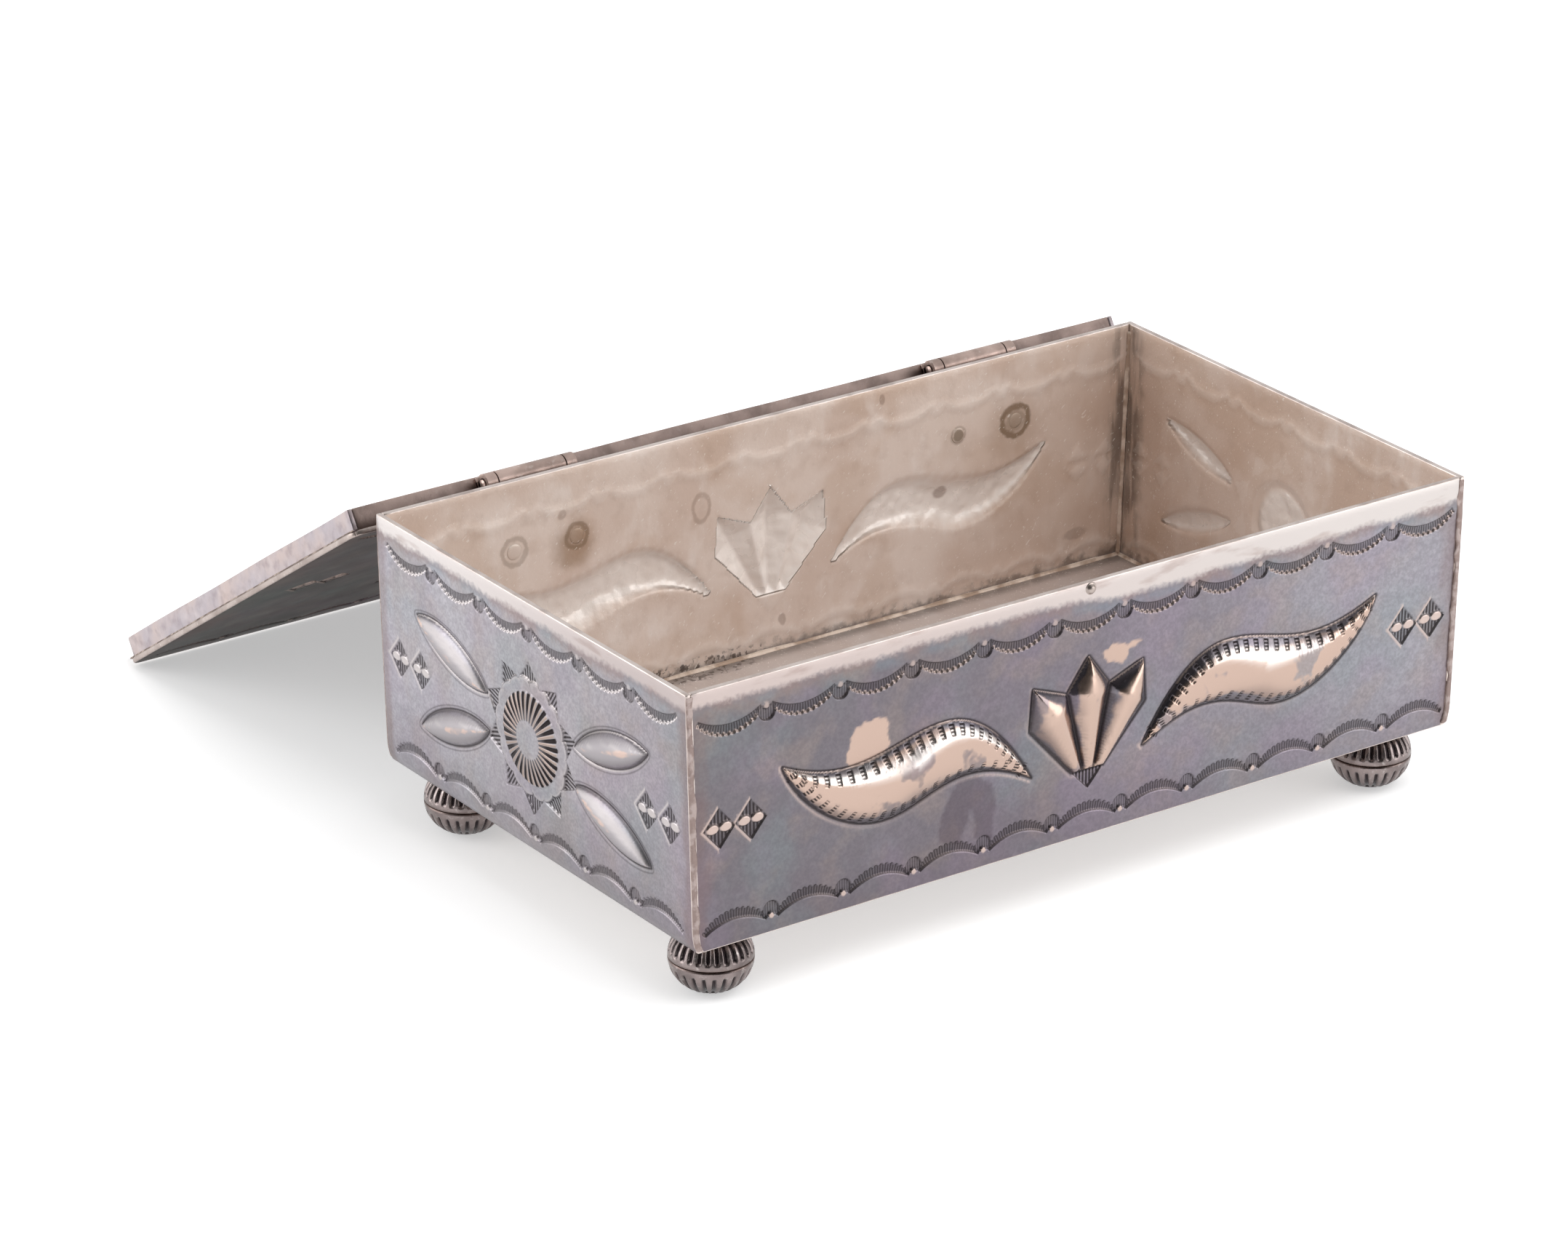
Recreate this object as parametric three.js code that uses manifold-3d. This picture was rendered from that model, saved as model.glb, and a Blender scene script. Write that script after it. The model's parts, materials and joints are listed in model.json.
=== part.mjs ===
// A stamped sheet-silver keepsake box on four bead feet, with its skirted lid thrown back on two hinges.
// Millimetres, +Z up, +X along the length, front towards -Y. The table is z = 0, and the origin is the
// middle of the space that the open box takes up on it.

import * as THREE from 'three';
import { mergeVertices } from 'three/addons/utils/BufferGeometryUtils.js';
import Module from 'manifold-3d';

const wasm = await Module();
wasm.setup();

// Case
const BOX_LENGTH = 160; // outside, at the rim
const BOX_WIDTH = 92; // outside
const WALL_HEIGHT = 45.6;
const WALL_SHEET = 1.0;
const BASE_SHEET = 1.0;
const END_LEAN = 1.2; // how far the foot of each end wall stands in from its rim
const SOLDER_SEAM = 0.25; // left between pieces that are soldered together

// Bead feet, each of two domes joined at the equator
const FOOT_HEIGHT = 12;
const BEAD_RADIUS = 7.1;
const BEAD_SHEET = 0.9;
const BEAD_FLAT = 2.0; // radius of the worn flat at each pole
const FOOT_INSET_X = 10.8; // bead centre from the outside of the end wall's rim
const FOOT_INSET_Y = 9.1; // bead centre from the outside of the long wall

// Lid
const LID_SHEET = 1.0;
const LID_OVERHANG = 0.4; // plate past the skirt
const LID_CORNER = 2.0;
const SKIRT_SHEET = 0.95;
const SKIRT_COVER = 3.5; // how far the closed skirt reaches below the rim
const SKIRT_CLEARANCE = 0.3; // to the front and end walls
const SKIRT_HINGE_CLEARANCE = 0.6; // to the back wall, for the swing
const LID_SEAT = 0.3; // closed plate above the rim
const LID_TABLE_GAP = 0.2; // open lid's front edge above the table

// Hinges
const HINGE_INSET = 33; // middle of each hinge from the outside corner
const HINGE_BACK = 4.1; // axis behind the back wall
const HINGE_DROP = 1.6; // axis below the rim
const KNUCKLE_LENGTH = 13.5;
const KNUCKLE_RADIUS = 1.75;
const KNUCKLE_BORE = 1.0;
const LID_KNUCKLE_LENGTH = 2.0;
const KNUCKLE_GAP = 0.25;
const PIN_RADIUS = 0.8;
const PIN_END = 0.4; // past the outer knuckles
const LEAF_SHEET = 0.8;
const LEAF_WIDTH = 17.5;
const LEAF_REACH = 16.6; // lower edge of the leaf below the rim
const LEAF_TALL = 7.4;
const LID_LEAF_SHEET = 0.4;
const RIVET_SPACING = 12.7;
const RIVET_DROP = 13; // below the rim
const RIVET_RADIUS = 0.8;
const RIVET_HEAD_RADIUS = 1.5;
const RIVET_HEAD_TALL = 0.5;
const RIVET_CLEARANCE = 0.25;

// Catch: a pip on the front wall that snaps into a dimple in the skirt
const PIP_RADIUS = 0.8;
const PIP_TALL = 0.6;
const PIP_DROP = 1.3;
const DIMPLE_CLEARANCE = 0.3;

// Forms raised in the sheet from behind
const LEAF_FORM_START = 11.7; // inner tip of the wave leaf, from the middle of the long wall
const LEAF_FORM_MARGIN = 18.3; // outer tip, from the outside corner
const LEAF_FORM_CROWN = 2.2;
const FAN_CROWN = 2.2;
const PETAL_START = 13.2; // inner tip, from the middle of the end wall
const PETAL_MARGIN = 11.7; // outer tip, from the outside corner
const PETAL_RISE_INNER = 3.5;
const PETAL_RISE_OUTER = 10.1;
const PETAL_WIDTH = 5.6;
const PETAL_CROWN = 1.8;
const SUNBURST_RADIUS = 8.1;
const SUNBURST_CROWN = 0.8;
const SUNBURST_EYE = 3.2;
const LID_PETAL_RISE_OUTER = 22;
const LID_PETAL_MARGIN = 38;
const SINK = 0.2; // how far a raised form starts below the face, so that the two join

// Facets
const LEAF_STATIONS = 14;
const PETAL_STATIONS = 8;
const LEAF_RIBS = 6;
const PETAL_RIBS = 4;
const RIDGE_RIBS = 2;
const ROUND_STEPS = 16;
const BEAD_STEPS = 20;
const BEAD_RINGS = 5;

// Heights and places that follow from these
const rimZ = FOOT_HEIGHT + WALL_HEIGHT;
const backY = BOX_WIDTH / 2;
const hingeX = BOX_LENGTH / 2 - HINGE_INSET;
const hingeY = backY + HINGE_BACK;
const hingeZ = rimZ - HINGE_DROP;
const leanAngle = Math.atan2(END_LEAN, WALL_HEIGHT);
const ornamentMid = (WALL_HEIGHT - SKIRT_COVER) / 2;

const outsideSilver = new THREE.MeshStandardMaterial({ color: 0x8d8b93, roughness: 0.38, metalness: 1 });
const insideSilver = new THREE.MeshStandardMaterial({ color: 0xb5a694, roughness: 0.42, metalness: 1 });
const beadSilver = new THREE.MeshStandardMaterial({ color: 0x77747a, roughness: 0.4, metalness: 1 });
const hingeSilver = new THREE.MeshStandardMaterial({ color: 0x9c8d88, roughness: 0.45, metalness: 1 });

function toSolid(geometry) {
  const plain = geometry.clone();
  plain.deleteAttribute('normal');
  plain.deleteAttribute('uv');
  const merged = mergeVertices(plain, 1e-4);
  const vertProperties = new Float32Array(merged.attributes.position.array);
  const triVerts = new Uint32Array(merged.index.array);
  return new wasm.Manifold(new wasm.Mesh({ numProp: 3, vertProperties, triVerts }));
}

function toGeometry(solid) {
  const mesh = solid.getMesh();
  const geometry = new THREE.BufferGeometry();
  geometry.setAttribute('position', new THREE.BufferAttribute(new Float32Array(mesh.vertProperties), 3));
  geometry.setIndex(new THREE.BufferAttribute(new Uint32Array(mesh.triVerts), 1));
  return geometry;
}

function carve(body, { added = [], removed = [] }) {
  let solid = toSolid(body);
  for (const geometry of added) solid = solid.add(toSolid(geometry));
  for (const geometry of removed) solid = solid.subtract(toSolid(geometry));
  return toGeometry(solid);
}

function piece(group, name, geometry, material) {
  const mesh = new THREE.Mesh(geometry, material);
  mesh.name = name;
  group.add(mesh);
  return mesh;
}

function outline(points) {
  return new THREE.Shape(points.map(([x, y]) => new THREE.Vector2(x, y)));
}

function slab(shape, thickness) {
  return new THREE.ExtrudeGeometry(shape, { depth: thickness, bevelEnabled: false, curveSegments: 4 });
}

function block(low, high) {
  const size = new THREE.Vector3(...high).sub(new THREE.Vector3(...low));
  const middle = new THREE.Vector3(...low).addScaledVector(size, 0.5);
  return new THREE.BoxGeometry(size.x, size.y, size.z).translate(middle.x, middle.y, middle.z);
}

// A profile in (y, z), drawn about the hinge axis and run along x.
function alongX(shape, fromX, toX) {
  const geometry = slab(shape, toX - fromX);
  const axes = [[0, 1, 0], [0, 0, 1], [1, 0, 0]].map((axis) => new THREE.Vector3(...axis));
  return geometry.applyMatrix4(new THREE.Matrix4().makeBasis(...axes)).translate(fromX, 0, 0);
}

function roundAlongX(radius, fromX, toX) {
  const rod = new THREE.CylinderGeometry(radius, radius, toX - fromX, ROUND_STEPS).rotateZ(Math.PI / 2);
  return rod.translate((fromX + toX) / 2, 0, 0);
}

// A form raised in sheet between two edges that share their end points. It is drawn on a face whose u runs
// right, v up and n out, with the upper edge running to the right. Two ribs make a ridge, more a round crown.
function raisedForm(upper, lower, crown, ribs) {
  const last = upper.length - 1;
  const widths = upper.map((point, i) => point.distanceTo(lower[i]));
  const widest = Math.max(...widths);
  const vertices = [];
  const add = (point, n) => vertices.push(point.x, point.y, n) / 3 - 1;
  const top = [];
  const under = [];
  for (let i = 0; i <= last; i++) {
    const tip = i === 0 || i === last;
    const row = [];
    for (let j = 0; j <= (tip ? 0 : ribs); j++) {
      const turn = (Math.PI * j) / ribs;
      const point = upper[i].clone().lerp(lower[i], (1 - Math.cos(turn)) / 2);
      row.push(add(point, tip ? 0 : crown * Math.sqrt(widths[i] / widest) * Math.sin(turn)));
    }
    top.push(row);
    under.push(tip ? [add(upper[i], -SINK)] : [add(upper[i], -SINK), add(lower[i], -SINK)]);
  }
  const faces = [];
  const skin = (rows, outward) => {
    for (let i = 0; i < last; i++) {
      const [a, b] = [rows[i], rows[i + 1]];
      for (let j = 0; j < Math.max(a.length, b.length) - 1; j++) {
        const [a0, a1] = a.length > 1 ? [a[j], a[j + 1]] : [a[0], a[0]];
        const [b0, b1] = b.length > 1 ? [b[j], b[j + 1]] : [b[0], b[0]];
        const corners = outward ? [[a0, a1, b1], [a0, b1, b0]] : [[a0, b1, a1], [a0, b0, b1]];
        for (const corner of corners) if (new Set(corner).size === 3) faces.push(...corner);
      }
    }
  };
  skin(top, true);
  skin(under, false);
  for (let i = 0; i < last; i++) {
    const rim = [top[i].at(0), top[i + 1].at(0), under[i + 1].at(0), under[i].at(0)];
    const foot = [top[i].at(-1), under[i].at(-1), under[i + 1].at(-1), top[i + 1].at(-1)];
    for (const [a, b, c, d] of [rim, foot]) faces.push(a, b, c, a, c, d);
  }
  const geometry = new THREE.BufferGeometry();
  geometry.setAttribute('position', new THREE.Float32BufferAttribute(vertices, 3));
  geometry.setIndex(faces);
  return geometry;
}

function mirrored(points) {
  return points.map((point) => new THREE.Vector2(-point.x, point.y));
}

function raisedPair(upper, lower, crown, ribs) {
  return [raisedForm(upper, lower, crown, ribs), raisedForm(mirrored(lower), mirrored(upper), crown, ribs)];
}

// The wave leaf swells twice, first low and then high, between its two tips.
function waveLeaves() {
  const start = LEAF_FORM_START;
  const length = BOX_LENGTH / 2 - LEAF_FORM_MARGIN - start;
  const at = (share, rise) => [start + share * length, ornamentMid + rise];
  const inner = at(0, -7.6);
  const outer = at(1, 7.2);
  const upper = new THREE.Path().moveTo(...inner)
    .bezierCurveTo(...at(0.07, -1.4), ...at(0.19, 6.8), ...at(0.35, 6.9))
    .bezierCurveTo(...at(0.56, 7), ...at(0.69, -0.4), ...outer);
  const lower = new THREE.Path().moveTo(...inner)
    .bezierCurveTo(...at(0.31, 1.3), ...at(0.43, -7.2), ...at(0.6, -7.3))
    .bezierCurveTo(...at(0.77, -7.4), ...at(0.95, 0.1), ...outer);
  const [upperEdge, lowerEdge] = [upper, lower].map((edge) => edge.getSpacedPoints(LEAF_STATIONS));
  return raisedPair(upperEdge, lowerEdge, LEAF_FORM_CROWN, LEAF_RIBS);
}

// Three ridged feathers spread from one foot.
function fan() {
  const at = (u, rise) => new THREE.Vector2(u, ornamentMid + rise);
  const foot = at(0, -9);
  const peak = at(0, 11.2);
  const shoulder = at(4.4, 5.4);
  const sideFoot = at(1.4, -9);
  const [middleLeft] = mirrored([shoulder]);
  const middle = raisedForm([foot, middleLeft, peak], [foot, shoulder, peak], FAN_CROWN, RIDGE_RIBS);
  const sides = raisedPair(
    [sideFoot, shoulder, at(11.4, 8)], [sideFoot, at(12, 0.6), at(11.4, 8)], FAN_CROWN, RIDGE_RIBS);
  return [middle, ...sides];
}

// Four pointed petals around the middle of a face.
function petals(innerTip, outerTip, middleV) {
  const axis = outerTip.clone().sub(innerTip);
  const across = new THREE.Vector2(-axis.y, axis.x).setLength((PETAL_WIDTH / 2) * (4 / 3));
  const edge = (side) => new THREE.CubicBezierCurve(
    innerTip,
    innerTip.clone().addScaledVector(axis, 0.25).addScaledVector(across, side),
    innerTip.clone().addScaledVector(axis, 0.75).addScaledVector(across, side),
    outerTip,
  ).getSpacedPoints(PETAL_STATIONS);
  const flipped = (points) => points.map((point) => new THREE.Vector2(point.x, 2 * middleV - point.y));
  const above = [edge(1), edge(-1)];
  const below = [flipped(above[1]), flipped(above[0])];
  return [above, below].flatMap(([upper, lower]) => raisedPair(upper, lower, PETAL_CROWN, PETAL_RIBS));
}

function wallPetals() {
  const inner = new THREE.Vector2(PETAL_START, ornamentMid + PETAL_RISE_INNER);
  const outer = new THREE.Vector2(BOX_WIDTH / 2 - PETAL_MARGIN, ornamentMid + PETAL_RISE_OUTER);
  return petals(inner, outer, ornamentMid);
}

function sunburst(middleV) {
  const profile = [
    [0, -SINK], [SUNBURST_RADIUS, -SINK], [SUNBURST_RADIUS, 0],
    [(SUNBURST_RADIUS + SUNBURST_EYE) / 2, SUNBURST_CROWN], [SUNBURST_EYE, SUNBURST_CROWN],
    [0, SUNBURST_CROWN],
  ].map(([radius, n]) => new THREE.Vector2(radius, n));
  return new THREE.LatheGeometry(profile, BEAD_STEPS).rotateX(Math.PI / 2).translate(0, middleV, 0);
}

// Each form stands out of the face, and its hollow shows behind, one sheet in.
function raisedSheet(plate, sheet, forms, holes = []) {
  const hollows = forms.map((form) => form.clone().translate(0, 0, -sheet));
  return carve(plate, { added: forms, removed: [...hollows, ...holes] });
}

// A long wall stands between the leaning end walls.
function longWall(holes = []) {
  const slope = WALL_SHEET / Math.cos(leanAngle) + SOLDER_SEAM;
  const top = BOX_LENGTH / 2 - slope;
  const bottom = top - END_LEAN;
  const shape = outline([[-bottom, 0], [bottom, 0], [top, WALL_HEIGHT], [-top, WALL_HEIGHT]]);
  const plate = slab(shape, WALL_SHEET).translate(0, 0, -WALL_SHEET);
  return raisedSheet(plate, WALL_SHEET, [...waveLeaves(), ...fan()], holes);
}

function endWall() {
  const slant = WALL_HEIGHT / Math.cos(leanAngle);
  const cut = WALL_SHEET * Math.tan(leanAngle); // level top and bottom edges on a leaning plate
  const profile = outline([[0, 0], [0, slant], [-WALL_SHEET, slant - cut], [-WALL_SHEET, -cut]]);
  const plate = slab(profile, BOX_WIDTH).translate(0, 0, -BOX_WIDTH / 2);
  const axes = [[0, 0, 1], [0, 1, 0], [-1, 0, 0]].map((axis) => new THREE.Vector3(...axis));
  plate.applyMatrix4(new THREE.Matrix4().makeBasis(...axes));
  return raisedSheet(plate, WALL_SHEET, [...wallPetals(), sunburst(ornamentMid)]);
}

// Puts a face drawn in (u, v, n) on its wall: origin at the foot of the wall's outside, u and n as given.
function stand(mesh, position, u, n) {
  const right = new THREE.Vector3(...u);
  const out = new THREE.Vector3(...n);
  const up = out.clone().cross(right);
  mesh.position.set(...position);
  mesh.quaternion.setFromRotationMatrix(new THREE.Matrix4().makeBasis(right, up, out));
}

function roundThroughWall(radius, u, v) {
  const reach = 4 * WALL_SHEET;
  return new THREE.CylinderGeometry(radius, radius, reach, ROUND_STEPS).rotateX(Math.PI / 2).translate(u, v, 0);
}

function rivetPlaces() {
  const places = [];
  for (const [hinge, side] of [['left', -1], ['right', 1]]) {
    for (const [end, offset] of [['outer', side], ['inner', -side]]) {
      const x = side * hingeX + (offset * RIVET_SPACING) / 2;
      places.push({ name: `${hinge}_hinge_${end}_rivet`, x });
    }
  }
  return places;
}

const rivetZ = rimZ - RIVET_DROP;
const rivetHole = RIVET_RADIUS + RIVET_CLEARANCE;

function addCase(group) {
  const footX = BOX_LENGTH / 2 - END_LEAN;
  const tilt = [Math.cos(leanAngle), Math.sin(leanAngle)];
  const front = piece(group, 'front_wall', longWall(), outsideSilver);
  stand(front, [0, -BOX_WIDTH / 2, FOOT_HEIGHT], [1, 0, 0], [0, -1, 0]);
  const holes = rivetPlaces().map(({ x }) => roundThroughWall(rivetHole, -x, rivetZ - FOOT_HEIGHT));
  const back = piece(group, 'back_wall', longWall(holes), outsideSilver);
  stand(back, [0, backY, FOOT_HEIGHT], [-1, 0, 0], [0, 1, 0]);
  const left = piece(group, 'left_end_wall', endWall(), outsideSilver);
  stand(left, [-footX, 0, FOOT_HEIGHT], [0, -1, 0], [-tilt[0], 0, -tilt[1]]);
  const right = piece(group, 'right_end_wall', endWall(), outsideSilver);
  stand(right, [footX, 0, FOOT_HEIGHT], [0, 1, 0], [tilt[0], 0, -tilt[1]]);

  const baseX = footX - WALL_SHEET / Math.cos(leanAngle) - SOLDER_SEAM;
  const baseY = BOX_WIDTH / 2 - WALL_SHEET - SOLDER_SEAM;
  const base = block([-baseX, -baseY, FOOT_HEIGHT], [baseX, baseY, FOOT_HEIGHT + BASE_SHEET]);
  piece(group, 'base_plate', base, insideSilver);
}

// Height of one half bead, from its equator to its flat.
const domeTall = FOOT_HEIGHT / 2 - SOLDER_SEAM;

// One half of a bead, equator at the origin, with a flat at its pole.
function beadDome() {
  const poleRise = domeTall / Math.sqrt(1 - (BEAD_FLAT / BEAD_RADIUS) ** 2);
  const arc = (radius, rise, endAngle) => Array.from({ length: BEAD_RINGS }, (_, i) => {
    const angle = (endAngle * i) / (BEAD_RINGS - 1);
    return new THREE.Vector2(radius * Math.cos(angle), rise * Math.sin(angle));
  });
  const outside = arc(BEAD_RADIUS, poleRise, Math.acos(BEAD_FLAT / BEAD_RADIUS));
  const inside = arc(BEAD_RADIUS - BEAD_SHEET, domeTall - BEAD_SHEET, Math.PI / 2).slice(0, -1);
  const innerPole = new THREE.Vector2(0, domeTall - BEAD_SHEET);
  const profile = [innerPole, ...inside.reverse(), ...outside, new THREE.Vector2(0, domeTall)];
  return new THREE.LatheGeometry(profile, BEAD_STEPS).rotateX(Math.PI / 2);
}

function addFeet(group) {
  const x = BOX_LENGTH / 2 - FOOT_INSET_X;
  const y = BOX_WIDTH / 2 - FOOT_INSET_Y;
  const corners = { front_left: [-x, -y], front_right: [x, -y], back_left: [-x, y], back_right: [x, y] };
  for (const [corner, [footX, footY]] of Object.entries(corners)) {
    const upper = piece(group, `${corner}_foot_upper_dome`, beadDome(), beadSilver);
    upper.position.set(footX, footY, domeTall + SOLDER_SEAM);
    const lower = piece(group, `${corner}_foot_lower_dome`, beadDome(), beadSilver);
    lower.position.set(footX, footY, domeTall);
    lower.rotation.x = Math.PI;
  }
}

function addCatchPip(group) {
  const profile = [[0, 0], [PIP_RADIUS, 0], [0.75 * PIP_RADIUS, 0.7 * PIP_TALL], [0, PIP_TALL]];
  const dome = new THREE.LatheGeometry(profile.map(([r, n]) => new THREE.Vector2(r, n)), ROUND_STEPS / 2);
  const pip = piece(group, 'catch_pip', dome.rotateX(Math.PI), hingeSilver);
  pip.position.set(0, -BOX_WIDTH / 2, rimZ - PIP_DROP);
}

// Hinge pieces are drawn about the hinge axis, with the wall's outside at y = -HINGE_BACK.
const wallSide = -HINGE_BACK + SOLDER_SEAM;
const leafBottom = HINGE_DROP - LEAF_REACH;
const leafTop = leafBottom + LEAF_TALL;
const knuckleHalf = KNUCKLE_LENGTH / 2;
const hingeHalf = knuckleHalf + KNUCKLE_GAP + LID_KNUCKLE_LENGTH;

function bodyLeaf() {
  const strapBack = -KNUCKLE_RADIUS + LEAF_SHEET;
  const bendDrop = KNUCKLE_RADIUS + 2 * LEAF_SHEET; // the strap starts back to the wall below the skirt
  const strap = outline([
    [strapBack, 0], [strapBack, -bendDrop], [wallSide + LEAF_SHEET, leafTop - LEAF_SHEET],
    [wallSide + LEAF_SHEET, leafBottom], [wallSide, leafBottom], [wallSide, leafTop],
    [-KNUCKLE_RADIUS, -bendDrop + LEAF_SHEET / 2], [-KNUCKLE_RADIUS, 0],
  ]);
  const plate = block(
    [-LEAF_WIDTH / 2, wallSide, leafBottom],
    [LEAF_WIDTH / 2, wallSide + LEAF_SHEET, leafTop - LEAF_SHEET],
  );
  const rivetHoles = [-1, 1].map((side) => new THREE.CylinderGeometry(
    rivetHole, rivetHole, 4 * LEAF_SHEET, ROUND_STEPS,
  ).translate((side * RIVET_SPACING) / 2, wallSide, rivetZ - hingeZ));
  return carve(alongX(strap, -knuckleHalf, knuckleHalf), {
    added: [roundAlongX(KNUCKLE_RADIUS, -knuckleHalf, knuckleHalf), plate],
    removed: [roundAlongX(KNUCKLE_BORE, -KNUCKLE_LENGTH, KNUCKLE_LENGTH), ...rivetHoles],
  });
}

// The lid's leaf lies on the skirt and ends in a short knuckle on each side of the body's one.
function lidLeaf() {
  const skirtBack = -HINGE_BACK + SKIRT_HINGE_CLEARANCE + SKIRT_SHEET;
  const front = skirtBack + SOLDER_SEAM;
  const back = front + LID_LEAF_SHEET;
  const strip = block(
    [-hingeHalf, front, HINGE_DROP - SKIRT_COVER + SOLDER_SEAM],
    [hingeHalf, back, HINGE_DROP + LID_SEAT - SOLDER_SEAM],
  );
  const knuckles = [-1, 1].flatMap((side) => {
    const [from, to] = [side * (hingeHalf - LID_KNUCKLE_LENGTH), side * hingeHalf].sort((a, b) => a - b);
    const tab = block([from, front, -KNUCKLE_BORE], [to, 0, KNUCKLE_BORE]);
    return [roundAlongX(KNUCKLE_RADIUS, from, to), tab];
  });
  return carve(strip, { added: knuckles, removed: [roundAlongX(KNUCKLE_BORE, -BOX_WIDTH, BOX_WIDTH)] });
}

function hingePin() {
  const reach = hingeHalf + PIN_END;
  const crown = PIN_END / 2;
  const profile = [
    [0, -reach], [PIN_RADIUS / 2, -reach], [PIN_RADIUS, -reach + crown],
    [PIN_RADIUS, reach - crown], [PIN_RADIUS / 2, reach], [0, reach],
  ];
  const rod = new THREE.LatheGeometry(profile.map(([r, x]) => new THREE.Vector2(r, x)), ROUND_STEPS);
  return rod.rotateZ(-Math.PI / 2);
}

// A rivet through leaf and wall: a domed head behind the leaf and a low flat one inside the box.
function rivet() {
  const leafBack = wallSide + LEAF_SHEET + HINGE_BACK + SOLDER_SEAM / 2;
  const inside = -WALL_SHEET - SOLDER_SEAM / 2;
  const tail = RIVET_HEAD_TALL * 0.8;
  const profile = [
    [0, inside - tail], [RIVET_HEAD_RADIUS * 0.8, inside - tail], [RIVET_HEAD_RADIUS, inside],
    [RIVET_RADIUS, inside], [RIVET_RADIUS, leafBack], [RIVET_HEAD_RADIUS, leafBack],
    [RIVET_HEAD_RADIUS * 0.7, leafBack + RIVET_HEAD_TALL], [0, leafBack + RIVET_HEAD_TALL],
  ];
  return new THREE.LatheGeometry(profile.map(([r, y]) => new THREE.Vector2(r, y)), ROUND_STEPS);
}

function addHinges(group, lid) {
  for (const [hinge, side] of [['left', -1], ['right', 1]]) {
    const x = side * hingeX;
    piece(group, `${hinge}_hinge_body_leaf`, bodyLeaf(), hingeSilver).position.set(x, hingeY, hingeZ);
    piece(group, `${hinge}_hinge_pin`, hingePin(), hingeSilver).position.set(x, hingeY, hingeZ);
    piece(lid, `${hinge}_hinge_lid_leaf`, lidLeaf(), hingeSilver).position.set(x, 0, 0);
  }
  for (const { name, x } of rivetPlaces()) {
    piece(group, name, rivet(), hingeSilver).position.set(x, backY, rivetZ);
  }
}

// The lid is drawn closed, about the hinge axis.
const skirtX = BOX_LENGTH / 2 + SKIRT_CLEARANCE; // inside of the end skirts
const skirtFront = -BOX_WIDTH / 2 - SKIRT_CLEARANCE - hingeY; // inside of the front skirt
const skirtBack = backY + SKIRT_HINGE_CLEARANCE - hingeY; // inside of the back skirt
const lidUnder = HINGE_DROP + LID_SEAT;
const skirtLow = HINGE_DROP - SKIRT_COVER;
const skirtHigh = lidUnder - SOLDER_SEAM;
const lidFrontEdge = skirtFront - SKIRT_SHEET - LID_OVERHANG;
const lidBackEdge = skirtBack + SKIRT_SHEET + LID_OVERHANG;

function lidPlate() {
  const halfX = skirtX + SKIRT_SHEET + LID_OVERHANG;
  const halfY = (lidBackEdge - lidFrontEdge) / 2;
  const corner = LID_CORNER;
  const shape = new THREE.Shape()
    .moveTo(-halfX + corner, -halfY)
    .lineTo(halfX - corner, -halfY)
    .absarc(halfX - corner, -halfY + corner, corner, -Math.PI / 2, 0)
    .absarc(halfX - corner, halfY - corner, corner, 0, Math.PI / 2)
    .absarc(-halfX + corner, halfY - corner, corner, Math.PI / 2, Math.PI)
    .absarc(-halfX + corner, -halfY + corner, corner, Math.PI, 1.5 * Math.PI);
  const plate = slab(shape, LID_SHEET).translate(0, 0, -LID_SHEET);
  const inner = new THREE.Vector2(PETAL_START, PETAL_RISE_INNER);
  const outer = new THREE.Vector2(BOX_LENGTH / 2 - LID_PETAL_MARGIN, LID_PETAL_RISE_OUTER);
  return raisedSheet(plate, LID_SHEET, [...petals(inner, outer, 0), sunburst(0)]);
}

function frontSkirt() {
  const strip = block([-skirtX + SOLDER_SEAM, skirtFront - SKIRT_SHEET, skirtLow],
    [skirtX - SOLDER_SEAM, skirtFront, skirtHigh]);
  const radius = PIP_RADIUS + DIMPLE_CLEARANCE;
  const depth = PIP_TALL - SKIRT_CLEARANCE + DIMPLE_CLEARANCE;
  const dimple = new THREE.CylinderGeometry(radius, radius, 2 * depth, ROUND_STEPS);
  return carve(strip, { removed: [dimple.translate(0, skirtFront, HINGE_DROP - PIP_DROP)] });
}

function addLid(lid) {
  const plate = piece(lid, 'lid_plate', lidPlate(), outsideSilver);
  plate.position.set(0, (lidFrontEdge + lidBackEdge) / 2, lidUnder + LID_SHEET);
  piece(lid, 'lid_front_skirt', frontSkirt(), outsideSilver);
  const back = block([-skirtX + SOLDER_SEAM, skirtBack, skirtLow],
    [skirtX - SOLDER_SEAM, skirtBack + SKIRT_SHEET, skirtHigh]);
  piece(lid, 'lid_back_skirt', back, outsideSilver);
  const strip = block([0, skirtFront - SKIRT_SHEET, skirtLow],
    [SKIRT_SHEET, skirtBack + SKIRT_SHEET, skirtHigh]);
  piece(lid, 'lid_left_skirt', strip, outsideSilver).position.x = -skirtX - SKIRT_SHEET;
  piece(lid, 'lid_right_skirt', strip.clone(), outsideSilver).position.x = skirtX;
}

// The lid turns back until its front edge rests on the table.
const lidTop = lidUnder + LID_SHEET;
const edgeReach = Math.hypot(lidFrontEdge, lidTop);
const openAngle = Math.PI + Math.asin((hingeZ - LID_TABLE_GAP) / edgeReach) - Math.atan2(lidTop, -lidFrontEdge);

const box = new THREE.Group();
const lid = new THREE.Group();
lid.position.set(0, hingeY, hingeZ);
lid.rotation.x = -openAngle;
addCase(box);
addFeet(box);
addCatchPip(box);
addHinges(box, lid);
addLid(lid);
box.add(lid);

const footprint = new THREE.Box3().setFromObject(box, true).getCenter(new THREE.Vector3());
box.position.set(-footprint.x, -footprint.y, 0);

export default box;
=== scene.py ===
"""Looks of a stamped silver keepsake box: struck walls, fluted bead feet, hinges and a skirted lid.

Lengths are millimetres until a mesh is placed. A sheet is drawn flat first, with u to the right, v up and
n out of its outside face, and is then stood up where the frame has it.
"""

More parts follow.
